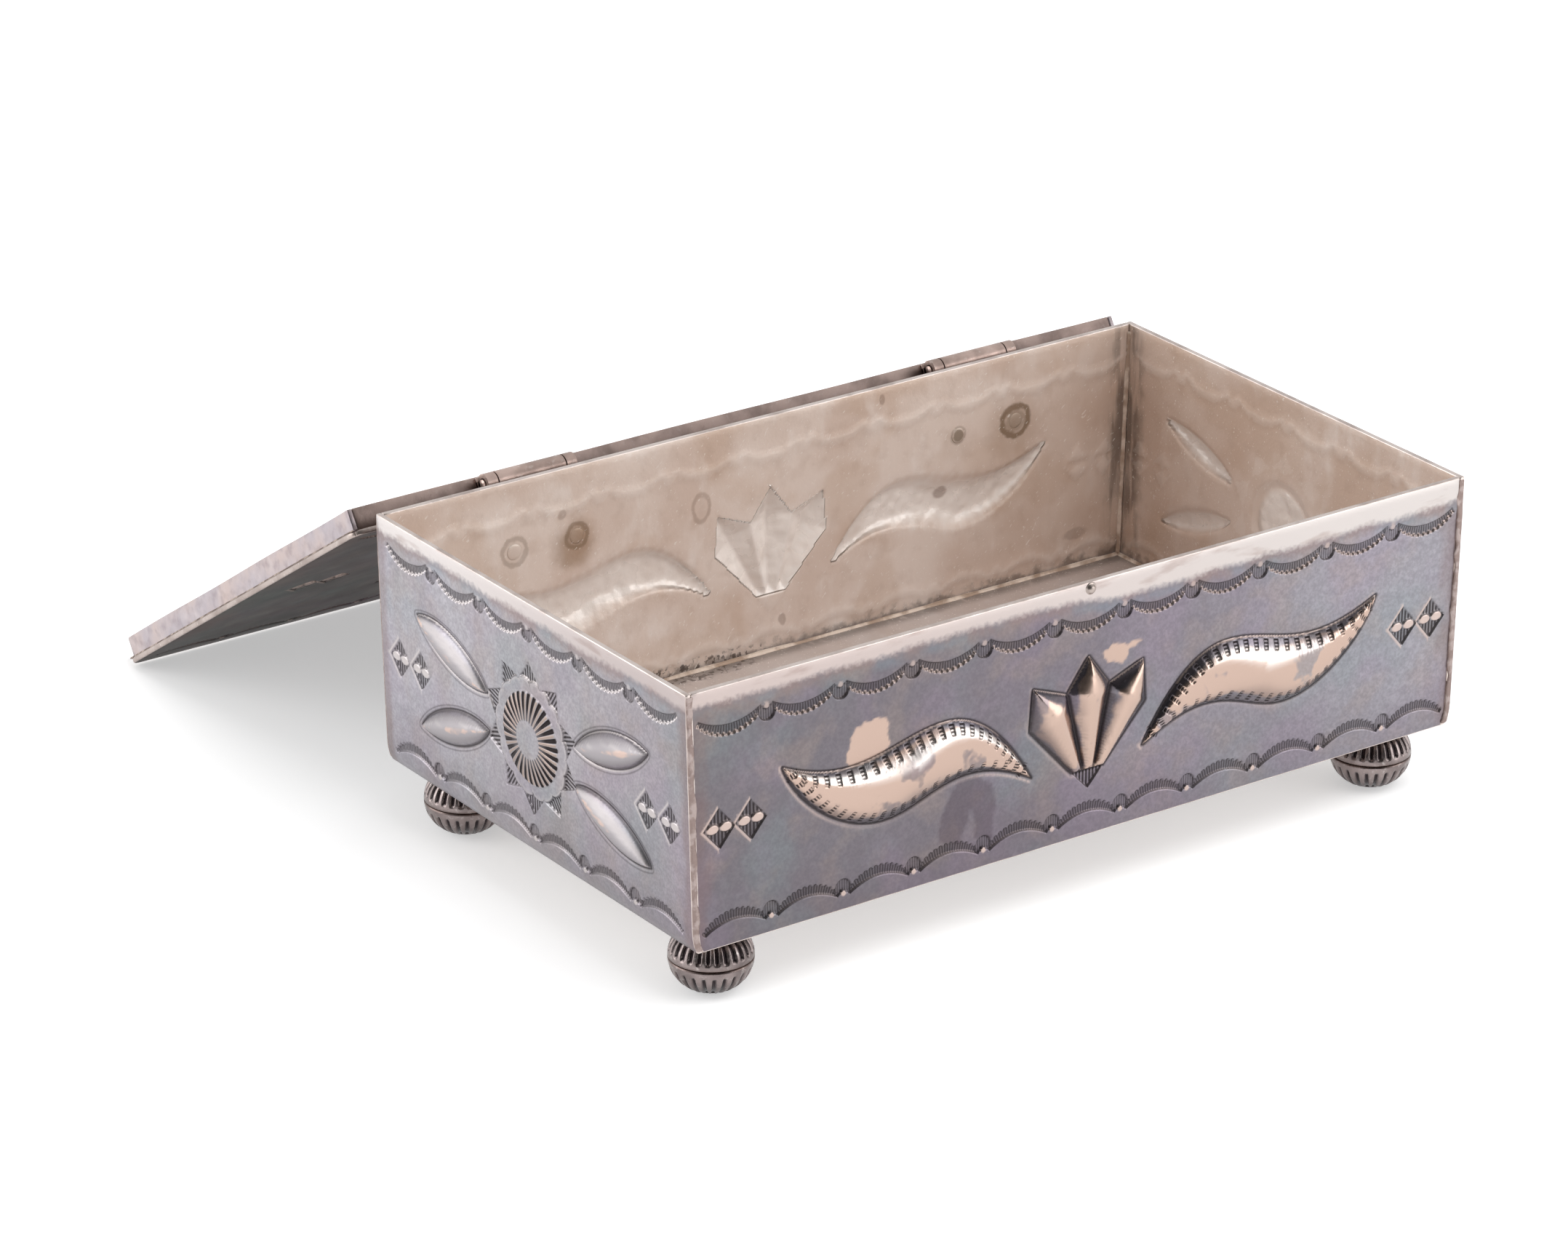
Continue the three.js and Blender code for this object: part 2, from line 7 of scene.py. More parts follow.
import json
import math
import bmesh
import bpy
import numpy as np
from mathutils import Matrix, Vector


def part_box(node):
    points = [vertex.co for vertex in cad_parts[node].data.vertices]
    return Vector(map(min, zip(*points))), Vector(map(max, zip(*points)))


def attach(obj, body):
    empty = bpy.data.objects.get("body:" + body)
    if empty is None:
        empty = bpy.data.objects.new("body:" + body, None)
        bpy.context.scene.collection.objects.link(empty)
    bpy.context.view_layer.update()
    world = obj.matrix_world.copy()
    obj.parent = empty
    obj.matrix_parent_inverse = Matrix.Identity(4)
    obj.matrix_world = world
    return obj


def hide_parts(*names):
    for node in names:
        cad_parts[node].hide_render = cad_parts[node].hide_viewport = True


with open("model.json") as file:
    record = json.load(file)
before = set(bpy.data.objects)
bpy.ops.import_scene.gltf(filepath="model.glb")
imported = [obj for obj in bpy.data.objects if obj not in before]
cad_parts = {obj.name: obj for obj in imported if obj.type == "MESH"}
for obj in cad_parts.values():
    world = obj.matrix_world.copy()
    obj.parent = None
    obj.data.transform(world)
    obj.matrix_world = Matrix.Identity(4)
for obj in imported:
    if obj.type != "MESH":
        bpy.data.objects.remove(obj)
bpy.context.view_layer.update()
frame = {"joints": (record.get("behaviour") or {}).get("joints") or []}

MM = 0.001


def corners(node):
    """Lowest and highest corner of a node, in millimetres."""
    return [np.array(corner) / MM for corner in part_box(node)]


# Case
end_low, end_high = corners("left_end_wall")
FRONT_Y, BACK_Y = end_low[1], end_high[1]
FOOT_Z, RIM_Z = end_low[2], end_high[2]
HALF_LENGTH = 80.0
HALF_WIDTH = (BACK_Y - FRONT_Y) / 2
MIDDLE_Y = (FRONT_Y + BACK_Y) / 2
WALL_HEIGHT = RIM_Z - FOOT_Z
WALL_SHEET = 1.0
BASE_SHEET = 1.0
END_LEAN = 1.2
FOOT_CURL = 1.1  # how far the foot of an end wall curls in
FOOT_CURL_TALL = 4.5
EDGE_ROUND = 0.22

# Lid, drawn closed about the hinge axis
HINGE = Vector(frame["joints"][0]["pos_m"]) / MM
OPEN_ANGLE = math.radians(frame["joints"][0]["range_deg"][1])
LID_SHEET = 1.0
LID_CORNER = 2.4
LID_HALF_LENGTH = corners("lid_plate")[1][0]
LID_FRONT, LID_BACK = -97.75, -2.15
LID_UNDER = 1.9
SKIRT_SHEET = 0.95
SKIRT_CORNER = 2.0  # outside radius where the front skirt meets the end skirts
SKIRT_LOW = -1.9
SKIRT_COVER = 3.5  # how far the closed lid's skirt reaches below the rim
CATCH_Z = SKIRT_LOW + 2.2  # middle of the catch's dimple in the front skirt
CATCH_DIMPLE = 0.5
CATCH_RADIUS, CATCH_SLOPE = 1.25, 0.35
CATCH_PATCH = 2.4  # half width of the skirt's finer mesh about the dimple
SKIRT_X = 80.3  # inside of the end skirts
SKIRT_FRONT, SKIRT_BACK = -96.4, -3.5  # insides of the front and back skirts

# Hinges
HINGE_X = 47.0
KNUCKLE_RADIUS = 1.75
KNUCKLE_BORE = 1.0
KNUCKLE_HALF = 6.75
LID_KNUCKLE = 2.0
KNUCKLE_GAP = 0.25
PIN_RADIUS = 0.8
PIN_END = 0.4
LEAF_SHEET = 0.8
LEAF_SEAM = 0.25  # solder behind the leaf
LEAF_WIDTH = 17.5
LEAF_REACH = 16.6  # lower edge of the leaf below the rim
LEAF_TALL = 7.4
RIVET_SPACING = 12.7
RIVET_DROP = 13.0  # below the rim
RIVET_Z = RIM_Z - RIVET_DROP
# Marks round the rivets' ends inside: place along x, ring's radius, and strength of ring, haze and middle
RIVET_MARKS = [
    (-HINGE_X - RIVET_SPACING / 2, 2.4, 0.35, 0.05, 0.1),
    (-HINGE_X + RIVET_SPACING / 2, 2.2, 0.5, 0.6, 0.15),
    (HINGE_X - RIVET_SPACING / 2, 1.5, 0.3, 0.1, 0.7),
    (HINGE_X + RIVET_SPACING / 2, 2.9, 0.75, 0.3, 0.4),
]
# Smudges on the back wall's inside: place along x and z, half sizes and strength
INSIDE_SMUDGES = [(38.0, 33.7, 1.5, 1.2, 0.5), (23.9, 55.2, 0.6, 1.0, 0.4), (-43.6, 49.2, 0.9, 0.9, 0.3),
                  (2.4, 18.5, 0.8, 1.1, 0.4), (67.4, 19.4, 2.6, 1.1, 0.3)]
OVAL_STAIN = (-14.7, 43.6, 1.7, 2.6)

# Bead feet
BEAD_RADIUS = 7.1
BEAD_FLAT = 2.0
BEAD_INSET_X, BEAD_INSET_Y = 10.8, 9.1  # bead centre from the outsides of the walls
BEAD_X = HALF_LENGTH - BEAD_INSET_X
BEAD_Y = HALF_WIDTH - BEAD_INSET_Y
UPPER_FLUTES = 28
LOWER_FLUTES = 24

# Sheet mesh: cells of the open ground, of soft forms, of edges and of struck marks
GROUND_CELL = 1.3
FORM_CELL = 0.65
EDGE_CELL = 0.325
MARK_CELL = 0.1625

# Dies
DIE_DEPTH = 0.36
DIE_SLOPE = 0.26
CRESCENT_RADIUS = 11.4
CRESCENT_HALF = 6.3
CRESCENT_WIDE = 1.9
CRESCENT_END = 0.85
CRESCENT_TEETH = 13
TOOTH_CUT = 0.4
FINE_LINES = 0.485  # pitch of a crescent's hatching
THUMB_RADIUS = 1.55
THUMB_LIFT = 0.3  # past the crescents' inner edges
CHASE_DEPTH = 0.24
CHASE_WIDE = 0.27
CHASE_DIP = 0.2  # how far the ground is dished at a chased line
DIAMOND_WIDE = 3.0
DIAMOND_TALL = 3.5
COARSE_LINES = 0.7
LONG_PITCH = 14.35
END_PITCH = 14.75
LONG_CRESCENTS = 11
END_CRESCENTS = 6
ORNAMENT_V = 21.05  # middle of the ornament above the foot of the wall
LONG_TOP_ROW, END_TOP_ROW, FOOT_ROW = 38.7, 39.8, 4.3  # rows of scallops above the foot
LID_ROW = 6.0  # from the lid's long edges
LONG_DIAMONDS, END_DIAMONDS, LID_DIAMONDS = (68.1, 74.3), (33.8, 40.4), (62.0, 68.2)

LEAF_CROWN = 2.1
FAN_CROWN = 2.1
PETAL_CROWN = 1.5
PETAL_WIDE = 6.2
PETAL_INNER, PETAL_OUTER = (13.2, 3.5), (34.3, 10.1)  # a petal's tips, from the sunburst's middle
LID_PETAL_OUTER = (42.0, 22.0)
SUN_CROWN = 0.75
SUN_FLUTE = 0.24
SUN_EYE = 3.2
SUN_RADIUS = 8.3
SUN_RING = 9.9
SUN_TIP = 13.8
SUN_FLUTES = 30
SUN_POINTS = 10
TICK_PITCH = 2.3
TICK_BARS = 0.52
RULE_GAP = 0.85  # from a petal's outline out to the line ruled round it

# Places on the front where the tarnish is rubbed off, and a dark stain
RUBBED_PATCHES = [
    [(-49.3, 25.8), (-49.1, 27.2), (-48.3, 29.5), (-47.9, 31.0), (-46.9, 31.6), (-45.6, 32.1), (-44.2, 32.1),
     (-43.1, 32.4), (-41.8, 32.1), (-41.1, 31.4), (-40.8, 30.4), (-40.9, 28.7), (-40.5, 27.2), (-40.9, 26.3),
     (-42.5, 25.2), (-45.0, 24.6), (-48.1, 24.6)],
    [(2.9, 31.7), (3.1, 32.4), (4.0, 32.8), (4.8, 33.4), (5.7, 33.4), (6.5, 33.0), (8.0, 32.7), (9.0, 32.9),
     (10.0, 32.9), (10.9, 32.6), (10.2, 32.1), (9.0, 31.8), (8.1, 31.4), (7.9, 30.6), (7.8, 29.9),
     (7.0, 29.5), (5.4, 29.9), (3.8, 30.5)],
]
FRONT_STAIN = [
    (-26.6, 16.8), (-28.0, 15.2), (-29.4, 13.1), (-30.5, 10.2), (-30.8, 6.8), (-26.2, 5.3), (-26.0, 7.2),
    (-25.0, 8.7), (-24.4, 11.0), (-23.7, 11.0), (-23.3, 8.3), (-23.4, 5.6), (-19.5, 4.7), (-19.7, 7.1),
    (-18.9, 11.1), (-19.8, 14.5), (-23.0, 16.9),
]


def ease(x):
    x = np.clip(x, 0, 1)
    return x * x * (3 - 2 * x)


def inside_distance(u, v, outline):
    """Distance inside a closed outline of points, negative outside it."""
    nearest = np.full(u.shape, np.inf)
    inside = np.zeros(u.shape, bool)
    for (u0, v0), (u1, v1) in zip(outline, np.roll(outline, -1, axis=0)):
        run, rise = u1 - u0, v1 - v0
        share = np.clip(((u - u0) * run + (v - v0) * rise) / (run**2 + rise**2 + 1e-12), 0, 1)
        nearest = np.minimum(nearest, np.hypot(u - u0 - share * run, v - v0 - share * rise))
        if rise != 0:
            crosses = (v0 > v) != (v1 > v)
            inside ^= crosses & (u < u0 + (v - v0) * run / rise)
    return np.where(inside, nearest, -nearest)


def bezier(points, count):
    """Points along a cubic curve, its end left out."""
    a, b, c, d = [np.array(point) for point in points]
    t = np.arange(count)[:, None] / count
    return a * (1 - t) ** 3 + 3 * b * t * (1 - t) ** 2 + 3 * c * t**2 * (1 - t) + d * t**3


class Relief:
    """What is raised in a sheet from behind and struck into it, at points (u, v) of its outside."""

    def __init__(self, u, v, margin=0.0, inset=0.0):
        self.u, self.v, self.margin, self.inset = u, v, margin, inset
        self.raised = np.zeros(u.shape)
        self.struck = np.zeros(u.shape)
        self.oxide = np.zeros(u.shape)
        self.hatch = np.zeros(u.shape)
        self.lines = np.zeros(u.shape)  # counted across a die's hatching
        self.crown = np.zeros(u.shape)
        self.shade = np.zeros(u.shape)  # patina near a raised form's edges, and painted shade on its lower and upper-left flanks
        self.lip_and_highlight = np.zeros(u.shape)  # metal pushed up beside a mark and worn bright, with painted highlights on the sides that face the light
        self.dull = np.zeros(u.shape)  # where an up-facing slope of a mark gets no painted highlight
        self.bare = np.zeros(u.shape)  # tarnish rubbed off in a patch
        self.crest_highlight = np.zeros(u.shape)  # painted highlight on the up-right crest of a raised form
        self.stain = np.zeros(u.shape)
        self.cell = np.full(u.shape, GROUND_CELL)
        self.behind_cell = np.full(u.shape, GROUND_CELL)

    def near(self, low, high, spare=2.5):
        """The points in a box, with (u, v) for each."""
        spare += self.margin
        inside = (self.u > low[0] - spare) & (self.u < high[0] + spare)
        inside &= (self.v > low[1] - spare) & (self.v < high[1] + spare)
        picked = np.nonzero(inside)[0]
        return picked, self.u[picked], self.v[picked]

    def most(self, field, picked, values):
        kept = getattr(self, field)
        kept[picked] = np.maximum(kept[picked], values)

    def want(self, picked, where, cell, behind=GROUND_CELL):
        """Asks for cells no larger than these on the outside and behind."""
        chosen = picked[where]
        self.cell[chosen] = np.minimum(self.cell[chosen], cell)
        self.behind_cell[chosen] = np.minimum(self.behind_cell[chosen], behind)

    def strike(self, picked, depth, lines, drive=DIE_DEPTH, oxide=0.5, hatch=0.4):
        """Drives a die in where depth, the distance inside its outline, is positive."""
        self.most("struck", picked, drive * ease(depth / DIE_SLOPE + 0.5))
        stained = ease(depth / DIE_SLOPE + 0.35)
        self.most("oxide", picked, oxide * stained)
        self.most("hatch", picked, hatch * stained)
        self.lines[picked] = np.where(depth > -DIE_SLOPE, lines, self.lines[picked])
        self.want(picked, depth > -DIE_SLOPE - self.margin, EDGE_CELL, FORM_CELL)
        self.want(picked, np.abs(depth) < DIE_SLOPE + self.margin, MARK_CELL)

    def chase(self, picked, depth):
        """Draws a tracer round an outline: a dark groove in dished ground, with no mark behind."""
        if self.inset:
            return
        groove = np.exp(-(((depth + CHASE_WIDE / 2) / CHASE_WIDE) ** 2))
        dished = np.where(depth < 0, CHASE_DIP * np.exp(np.minimum(depth, 0) / 0.8), 0)
        self.most("struck", picked, np.maximum(CHASE_DEPTH * groove, dished))
        self.most("oxide", picked, 0.9 * groove)
        self.want(picked, np.abs(depth + CHASE_WIDE / 2) < 1.6 * CHASE_WIDE + self.margin, MARK_CELL)
        self.want(picked, np.abs(depth) < 0.8 + self.margin, EDGE_CELL)


def turned(u, v, at, turn):
    """(s, t) of points about a place, with t towards turn from v."""
    cos, sin = math.cos(turn), math.sin(turn)
    du, dv = u - at[0], v - at[1]
    return du * cos + dv * sin, dv * cos - du * sin


def crescent(relief, at, turn=0.0):
    """A toothed crescent, hollow side towards t, its inner edge through the given place."""
    reach = CRESCENT_HALF + 1
    picked, u, v = relief.near(np.subtract(at, reach), np.add(at, reach), 0.5)
    s, t = turned(u, v, at, turn)
    out = np.hypot(s, CRESCENT_RADIUS - t) - CRESCENT_RADIUS
    arc = CRESCENT_RADIUS * np.arctan2(s, CRESCENT_RADIUS - t)
    wide = CRESCENT_END + (CRESCENT_WIDE - CRESCENT_END) * (1 - (arc / CRESCENT_HALF) ** 2)
    tooth = arc / (2 * CRESCENT_HALF) * CRESCENT_TEETH
    from_notch = np.abs(tooth - np.round(tooth))
    notch = TOOTH_CUT * np.clip(1 - from_notch / 0.3, 0, 1)
    depth = np.minimum(np.minimum(out, wide - notch - out), CRESCENT_HALF - np.abs(arc))
    relief.strike(picked, depth, arc / FINE_LINES, oxide=0.38, hatch=0.36)
    # Painted highlight on the wedges between the teeth, in the upright rows only.
    between = ease((wide + 0.12 - out) / 0.2) * (out > wide - TOOTH_CUT) * (np.abs(arc) < CRESCENT_HALF)
    relief.most("lip_and_highlight", picked, 0.5 * between * (depth < 0) * (math.cos(turn) > 0))


def thumb(relief, at, turn=0.0):
    """A small round die between two crescents, with a bead left standing in its top."""
    picked, u, v = relief.near(np.subtract(at, THUMB_RADIUS), np.add(at, THUMB_RADIUS), 0.5)
    s, t = turned(u, v, at, turn)
    bead = np.hypot(s, t - 0.95) - 0.55
    depth = np.minimum(np.minimum(THUMB_RADIUS - np.hypot(s, t), 1.0 - t), bead)
    relief.strike(picked, depth, s / FINE_LINES, oxide=0.18, hatch=0.36)
    relief.most("lip_and_highlight", picked, (0.7 - 0.2 * math.cos(turn)) * ease(0.3 - bead / 0.2) * (t < 1.5))
    relief.most("oxide", picked, 0.6 * np.exp(-(((depth - 0.08) / 0.17) ** 2)) * (t < 0.7))
    relief.most("dull", picked, 0.8 * (np.hypot(s, t) < THUMB_RADIUS + 0.4))


def diamond(relief, at):
    """Two hatched triangles base to base, with two bright eyes left between them."""
    picked, u, v = relief.near(np.subtract(at, DIAMOND_TALL), np.add(at, DIAMOND_TALL), 1.0)
    s, t = u - at[0], v - at[1]
    across = DIAMOND_WIDE * DIAMOND_TALL / math.hypot(DIAMOND_WIDE, DIAMOND_TALL)
    edge = (1 - np.abs(s) / DIAMOND_WIDE - np.abs(t) / DIAMOND_TALL) * across
    eye = (np.hypot((np.abs(s) - 1.3) / 1.25, t / 0.85) - 1) * 0.85
    relief.strike(picked, np.minimum(edge, eye), s / COARSE_LINES, oxide=0.32, hatch=0.55)
    relief.most("lip_and_highlight", picked, ease(-eye / 0.2 + 0.2) * 0.9)
    # Painted highlight along the left edges.
    relief.most("lip_and_highlight", picked, 0.8 * ease(1 - np.abs(edge + 0.35) / 0.35) * (s < -0.2))


def hatched_triangle(relief, at, turn, half_base, tall, lobe):
    """A hatched triangle with its tip towards t and two lobes left standing in its base."""
    picked, u, v = relief.near(np.subtract(at, tall + 1), np.add(at, tall + 1), 0.5)
    s, t = turned(u, v, at, turn)
    side = (1 - np.abs(s) / half_base - t / tall) * half_base * tall / math.hypot(half_base, tall)
    from_lobe = 2 * np.abs(s) / half_base - 1
    base = t - lobe * np.sqrt(np.clip(1 - from_lobe**2, 0, 1))
    relief.strike(picked, np.minimum(side, base), s / COARSE_LINES, oxide=0.15, hatch=0.75)
    if lobe:
        relief.most("oxide", picked, 0.5 * np.exp(-((base / 0.2) ** 2)) * (side > 0))
        relief.most("lip_and_highlight", picked, 0.45 * ease(1 - np.abs(base + 0.3) / 0.35) * (side > 0))


def dome(relief, upper, lower, crown, shade=0.7, lip_and_highlight=0.7, rule=0.0, folded=False, crest_highlight=0.0):
    """A round form between two edges, with a chased outline, a worn lip and painted highlight at its lower
    left, painted shade on its flanks and a painted highlight on its up-right crest.

    A rule is a second, finer line round it. A folded form has a straight crease behind.
    """
    outline = np.concatenate([upper, lower[::-1]])
    picked, u, v = relief.near(outline.min(0), outline.max(0))
    inset = 0.0 if folded else relief.inset
    depth = inside_distance(u, v, outline) - inset
    middle = (upper + lower) / 2
    room = np.maximum(inside_distance(middle[:, 0], middle[:, 1], outline) - inset, 0.05)
    gaps = (u[:, None] - middle[None, :, 0]) ** 2 + (v[:, None] - middle[None, :, 1]) ** 2
    nearest = np.argmin(gaps, axis=1)
    local = room[nearest]
    share = np.clip(depth / local, 0, 1)
    if relief.inset:
        section = share if folded else ease(share / 0.85)
    else:
        inward = np.maximum(depth, 0)
        section = np.sin(math.pi / 2 * share) * inward / (inward + 0.15)
    height = crown * np.sqrt(local / room.max()) * section
    relief.most("raised", picked, height)
    relief.most("crown", picked, np.where(folded and relief.inset, 0.6, share) * (depth > 0))
    away = np.stack([u - middle[nearest, 0], v - middle[nearest, 1]])
    away = away / np.maximum(np.hypot(*away), 1e-6)
    # Painted shade on the lower and upper-left flanks over patina near the edges, and a painted highlight on
    # the up-right crest.
    low_left = ease(-0.95 * away[0] - 0.25 * away[1] - 0.05)
    up_left = ease((0.8 * away[1] - 0.6 * away[0] - 0.75) / 0.2)
    low = ease((0.3 - away[1]) / 0.8)
    flank = shade * (0.1 + 0.65 * low + 0.2 * low_left + 0.85 * up_left)
    relief.most("shade", picked, (depth > 0) * flank * ease((0.8 - share) / 0.6))
    up_right = ease((0.75 * away[1] + 0.65 * away[0] - 0.5) / 0.35)
    crest = ease((share - 0.2) / 0.25) * ease((1.0 - share) / 0.35)
    relief.most("crest_highlight", picked, crest_highlight * up_right * crest)
    relief.most("lip_and_highlight", picked, lip_and_highlight * ease(1 - np.abs(depth + 0.7) / 0.45) * low_left)
    relief.chase(picked, depth)
    if rule:
        line = np.exp(-(((depth + RULE_GAP) / 0.15) ** 2))
        relief.most("oxide", picked, rule * line)
        relief.want(picked, np.abs(depth + RULE_GAP) < 0.3 + relief.margin, MARK_CELL)
    relief.want(picked, depth > -relief.margin, FORM_CELL, EDGE_CELL if folded else FORM_CELL)
    return picked, u, v


def ticks(relief, picked, u, v, edge, side):
    """Little ladders of bars struck along an edge, just inside it."""
    steps = np.linalg.norm(np.diff(edge, axis=0), axis=1)
    along = np.concatenate([[0], np.cumsum(steps)])
    for place in np.arange(TICK_PITCH, along[-1] - TICK_PITCH / 2, TICK_PITCH):
        at = np.array([np.interp(place, along, edge[:, axis]) for axis in (0, 1)])
        ahead = np.array([np.interp(place + 0.5, along, edge[:, axis]) for axis in (0, 1)])
        way = (ahead - at) / np.linalg.norm(ahead - at)
        s = (u - at[0]) * way[0] + (v - at[1]) * way[1]
        t = side * ((v - at[1]) * way[0] - (u - at[0]) * way[1])
        depth = np.minimum(np.minimum(0.5 - 0.06 * t - np.abs(s), t - 0.3), 2.15 - t)
        near = np.nonzero(depth > -0.5 - relief.margin)[0]
        fading = 0.95 - 0.25 * np.clip(t[near] / 2, 0, 1)
        relief.strike(picked[near], depth[near], (t[near] - 0.55) / TICK_BARS, 0.14, 0.12, fading)


def wave_leaf(relief, side):
    """The leaf swells twice, first low and then high, between its two tips."""
    start, length, steps = 11.7, 50.0, 40

    def at(share, rise):
        return side * (start + share * length), ORNAMENT_V + rise

    inner, outer = at(0, -7.6), at(1, 7.2)
    crest, trough = at(0.35, 6.9), at(0.6, -7.3)
    upper = np.concatenate([
        bezier([inner, at(0.07, -1.4), at(0.19, 6.8), crest], steps),
        bezier([crest, at(0.56, 7), at(0.69, -0.4), outer], steps), [outer]])
    lower = np.concatenate([
        bezier([inner, at(0.31, 1.3), at(0.43, -7.2), trough], steps),
        bezier([trough, at(0.77, -7.4), at(0.95, 0.1), outer], steps), [outer]])
    picked, u, v = dome(relief, upper, lower, LEAF_CROWN, crest_highlight=0.8)
    ticks(relief, picked, u, v, upper, -side)
    ticks(relief, picked, u, v, lower, side)


def petal(relief, inner, outer, rule=0.5):
    inner, outer = np.array(inner), np.array(outer)
    run = outer - inner
    across = np.array([-run[1], run[0]]) / np.linalg.norm(run) * PETAL_WIDE / 2 * 4 / 3
    edges = []
    for side in (1, -1):
        curve = [inner, inner + 0.25 * run + side * across, inner + 0.75 * run + side * across, outer]
        edges.append(np.concatenate([bezier(curve, 40), [outer]]))
    dome(relief, *edges, PETAL_CROWN, 0.3, 0.2, rule, crest_highlight=0.25)


def polyline(points, count=40):
    """Points spread evenly along straight runs."""
    points = np.array(points)
    along = np.concatenate([[0], np.cumsum(np.linalg.norm(np.diff(points, axis=0), axis=1))])
    spread = np.linspace(0, along[-1], count)
    return np.stack([np.interp(spread, along, points[:, axis]) for axis in (0, 1)], axis=1)


def fan(relief):
    """Three ridged feathers spread from one foot, over a hatched triangle."""
    foot, waist, shoulder, peak = -9.0, 1.1, (4.4, 5.4), (0.0, 11.2)
    wing, heel, tip = (12.0, 0.6), (3.2, foot), (11.4, 8.0)
    lift = (0, ORNAMENT_V)
    feathers = [([(-waist, foot), (-shoulder[0], shoulder[1]), peak], [(waist, foot), shoulder, peak])]
    for side in (-1, 1):
        inner = [(side * u, v) for u, v in ((waist, foot), shoulder, tip)]
        outer = [(side * u, v) for u, v in (heel, wing, tip)]
        feathers.append((inner, outer))
    for inner, outer in feathers:
        dome(relief, polyline(inner) + lift, polyline(outer) + lift, FAN_CROWN, 0.75, 0.25, folded=True)
    hatched_triangle(relief, (0, ORNAMENT_V + foot), math.pi, heel[0], 3.3, 0)


def sunburst(relief, at):
    """A fluted dish with a plain eye, in a smooth ring with hatched points."""
    reach = SUN_TIP + 1
    picked, u, v = relief.near(np.subtract(at, reach), np.add(at, reach))
    radius = np.hypot(u - at[0], v - at[1])
    angle = np.arctan2(v - at[1], u - at[0])
    fluted = np.minimum(radius - SUN_EYE, SUN_RADIUS - radius)
    share = np.clip((SUN_RADIUS - radius) / (SUN_RADIUS - SUN_EYE), 0, 1)
    relief.raised[picked] += SUN_CROWN * np.sqrt(share * (2 - share))
    relief.want(picked, radius < SUN_RADIUS + 1 + relief.margin, FORM_CELL, FORM_CELL)
    if relief.inset:
        relief.most("crown", picked, 0.6 * ease(share / 0.6))
        return
    flute = ease(fluted / 0.35) * np.sin(angle * SUN_FLUTES / 2) ** 2
    outward = ease((radius - SUN_EYE) / 3.5)
    relief.most("struck", picked, SUN_FLUTE * flute * outward)
    relief.most("oxide", picked, 0.25 * flute)
    relief.most("hatch", picked, ease(fluted / 0.25) * (0.45 + 0.45 * outward))
    counted = angle * SUN_FLUTES / (2 * math.pi) + 0.5
    relief.lines[picked] = np.where(fluted > -0.1, counted, relief.lines[picked])
    relief.most("crown", picked, 1.4 * ease(fluted / 0.4) * (1 - flute))
    relief.want(picked, fluted > -0.3 - relief.margin, MARK_CELL)
    for i in range(SUN_POINTS):
        turn = 2 * math.pi * i / SUN_POINTS
        base = np.add(at, (-SUN_RING * math.sin(turn), SUN_RING * math.cos(turn)))
        hatched_triangle(relief, base, turn, 3.2, SUN_TIP - SUN_RING, 0.7)


def scallops(relief, count, pitch, v, turn):
    """A row of crescents with thumbs between them, along u."""
    lift = THUMB_LIFT * math.cos(turn)
    for i in range(count):
        crescent(relief, ((i - (count - 1) / 2) * pitch, v), turn)
    for i in range(count - 1):
        thumb(relief, ((i - (count - 2) / 2) * pitch, v + lift), turn)


def draw_long_wall(relief):
    scallops(relief, LONG_CRESCENTS, LONG_PITCH, LONG_TOP_ROW, 0)
    scallops(relief, LONG_CRESCENTS, LONG_PITCH, FOOT_ROW, math.pi)
    for side in (-1, 1):
        wave_leaf(relief, side)
        for u in LONG_DIAMONDS:
            diamond(relief, (side * u, ORNAMENT_V))
    fan(relief)


def mark(relief, field, outline, soft):
    """Fills an outline in one of the relief's fields, with a soft edge."""
    outline = np.array(outline)
    picked, u, v = relief.near(outline.min(0), outline.max(0))
    wander = 0.12 * np.sin(3.1 * u + 1.7 * v) + 0.08 * np.sin(5.3 * v - 2.2 * u)
    depth = inside_distance(u, v, outline) + wander
    relief.most(field, picked, ease(depth / soft + 0.5))
    relief.want(picked, np.abs(depth) < soft + relief.margin, EDGE_CELL)


def draw_front_wall(relief):
    draw_long_wall(relief)
    for outline in RUBBED_PATCHES:
        mark(relief, "bare", outline, 0.4)
    mark(relief, "stain", FRONT_STAIN, 0.8)


def draw_end_wall(relief):
    scallops(relief, END_CRESCENTS, END_PITCH, END_TOP_ROW, 0)
    scallops(relief, END_CRESCENTS, END_PITCH, FOOT_ROW, math.pi)
    sunburst(relief, (0, ORNAMENT_V))
    for side in (-1, 1):
        for rise in (-1, 1):
            inner = side * PETAL_INNER[0], ORNAMENT_V + rise * PETAL_INNER[1]
            petal(relief, inner, (side * PETAL_OUTER[0], ORNAMENT_V + rise * PETAL_OUTER[1]))
        for u in END_DIAMONDS:
            diamond(relief, (side * u, ORNAMENT_V))


def draw_lid(relief):
    middle = (LID_BACK - LID_FRONT) / 2
    scallops(relief, LONG_CRESCENTS, LONG_PITCH, 2 * middle - LID_ROW, 0)
    scallops(relief, LONG_CRESCENTS, LONG_PITCH, LID_ROW, math.pi)
    sunburst(relief, (0, middle))
    for side in (-1, 1):
        for rise in (-1, 1):
            inner = side * PETAL_INNER[0], middle + rise * PETAL_INNER[1]
            petal(relief, inner, (side * LID_PETAL_OUTER[0], middle + rise * LID_PETAL_OUTER[1]), 0)
        for u in LID_DIAMONDS:
            diamond(relief, (side * u, middle))
        for v in (0, 2 * middle):
            picked = relief.near((side * LID_HALF_LENGTH, v), (side * LID_HALF_LENGTH, v), LID_CORNER)[0]
            relief.want(picked, np.ones(len(picked), bool), EDGE_CELL)


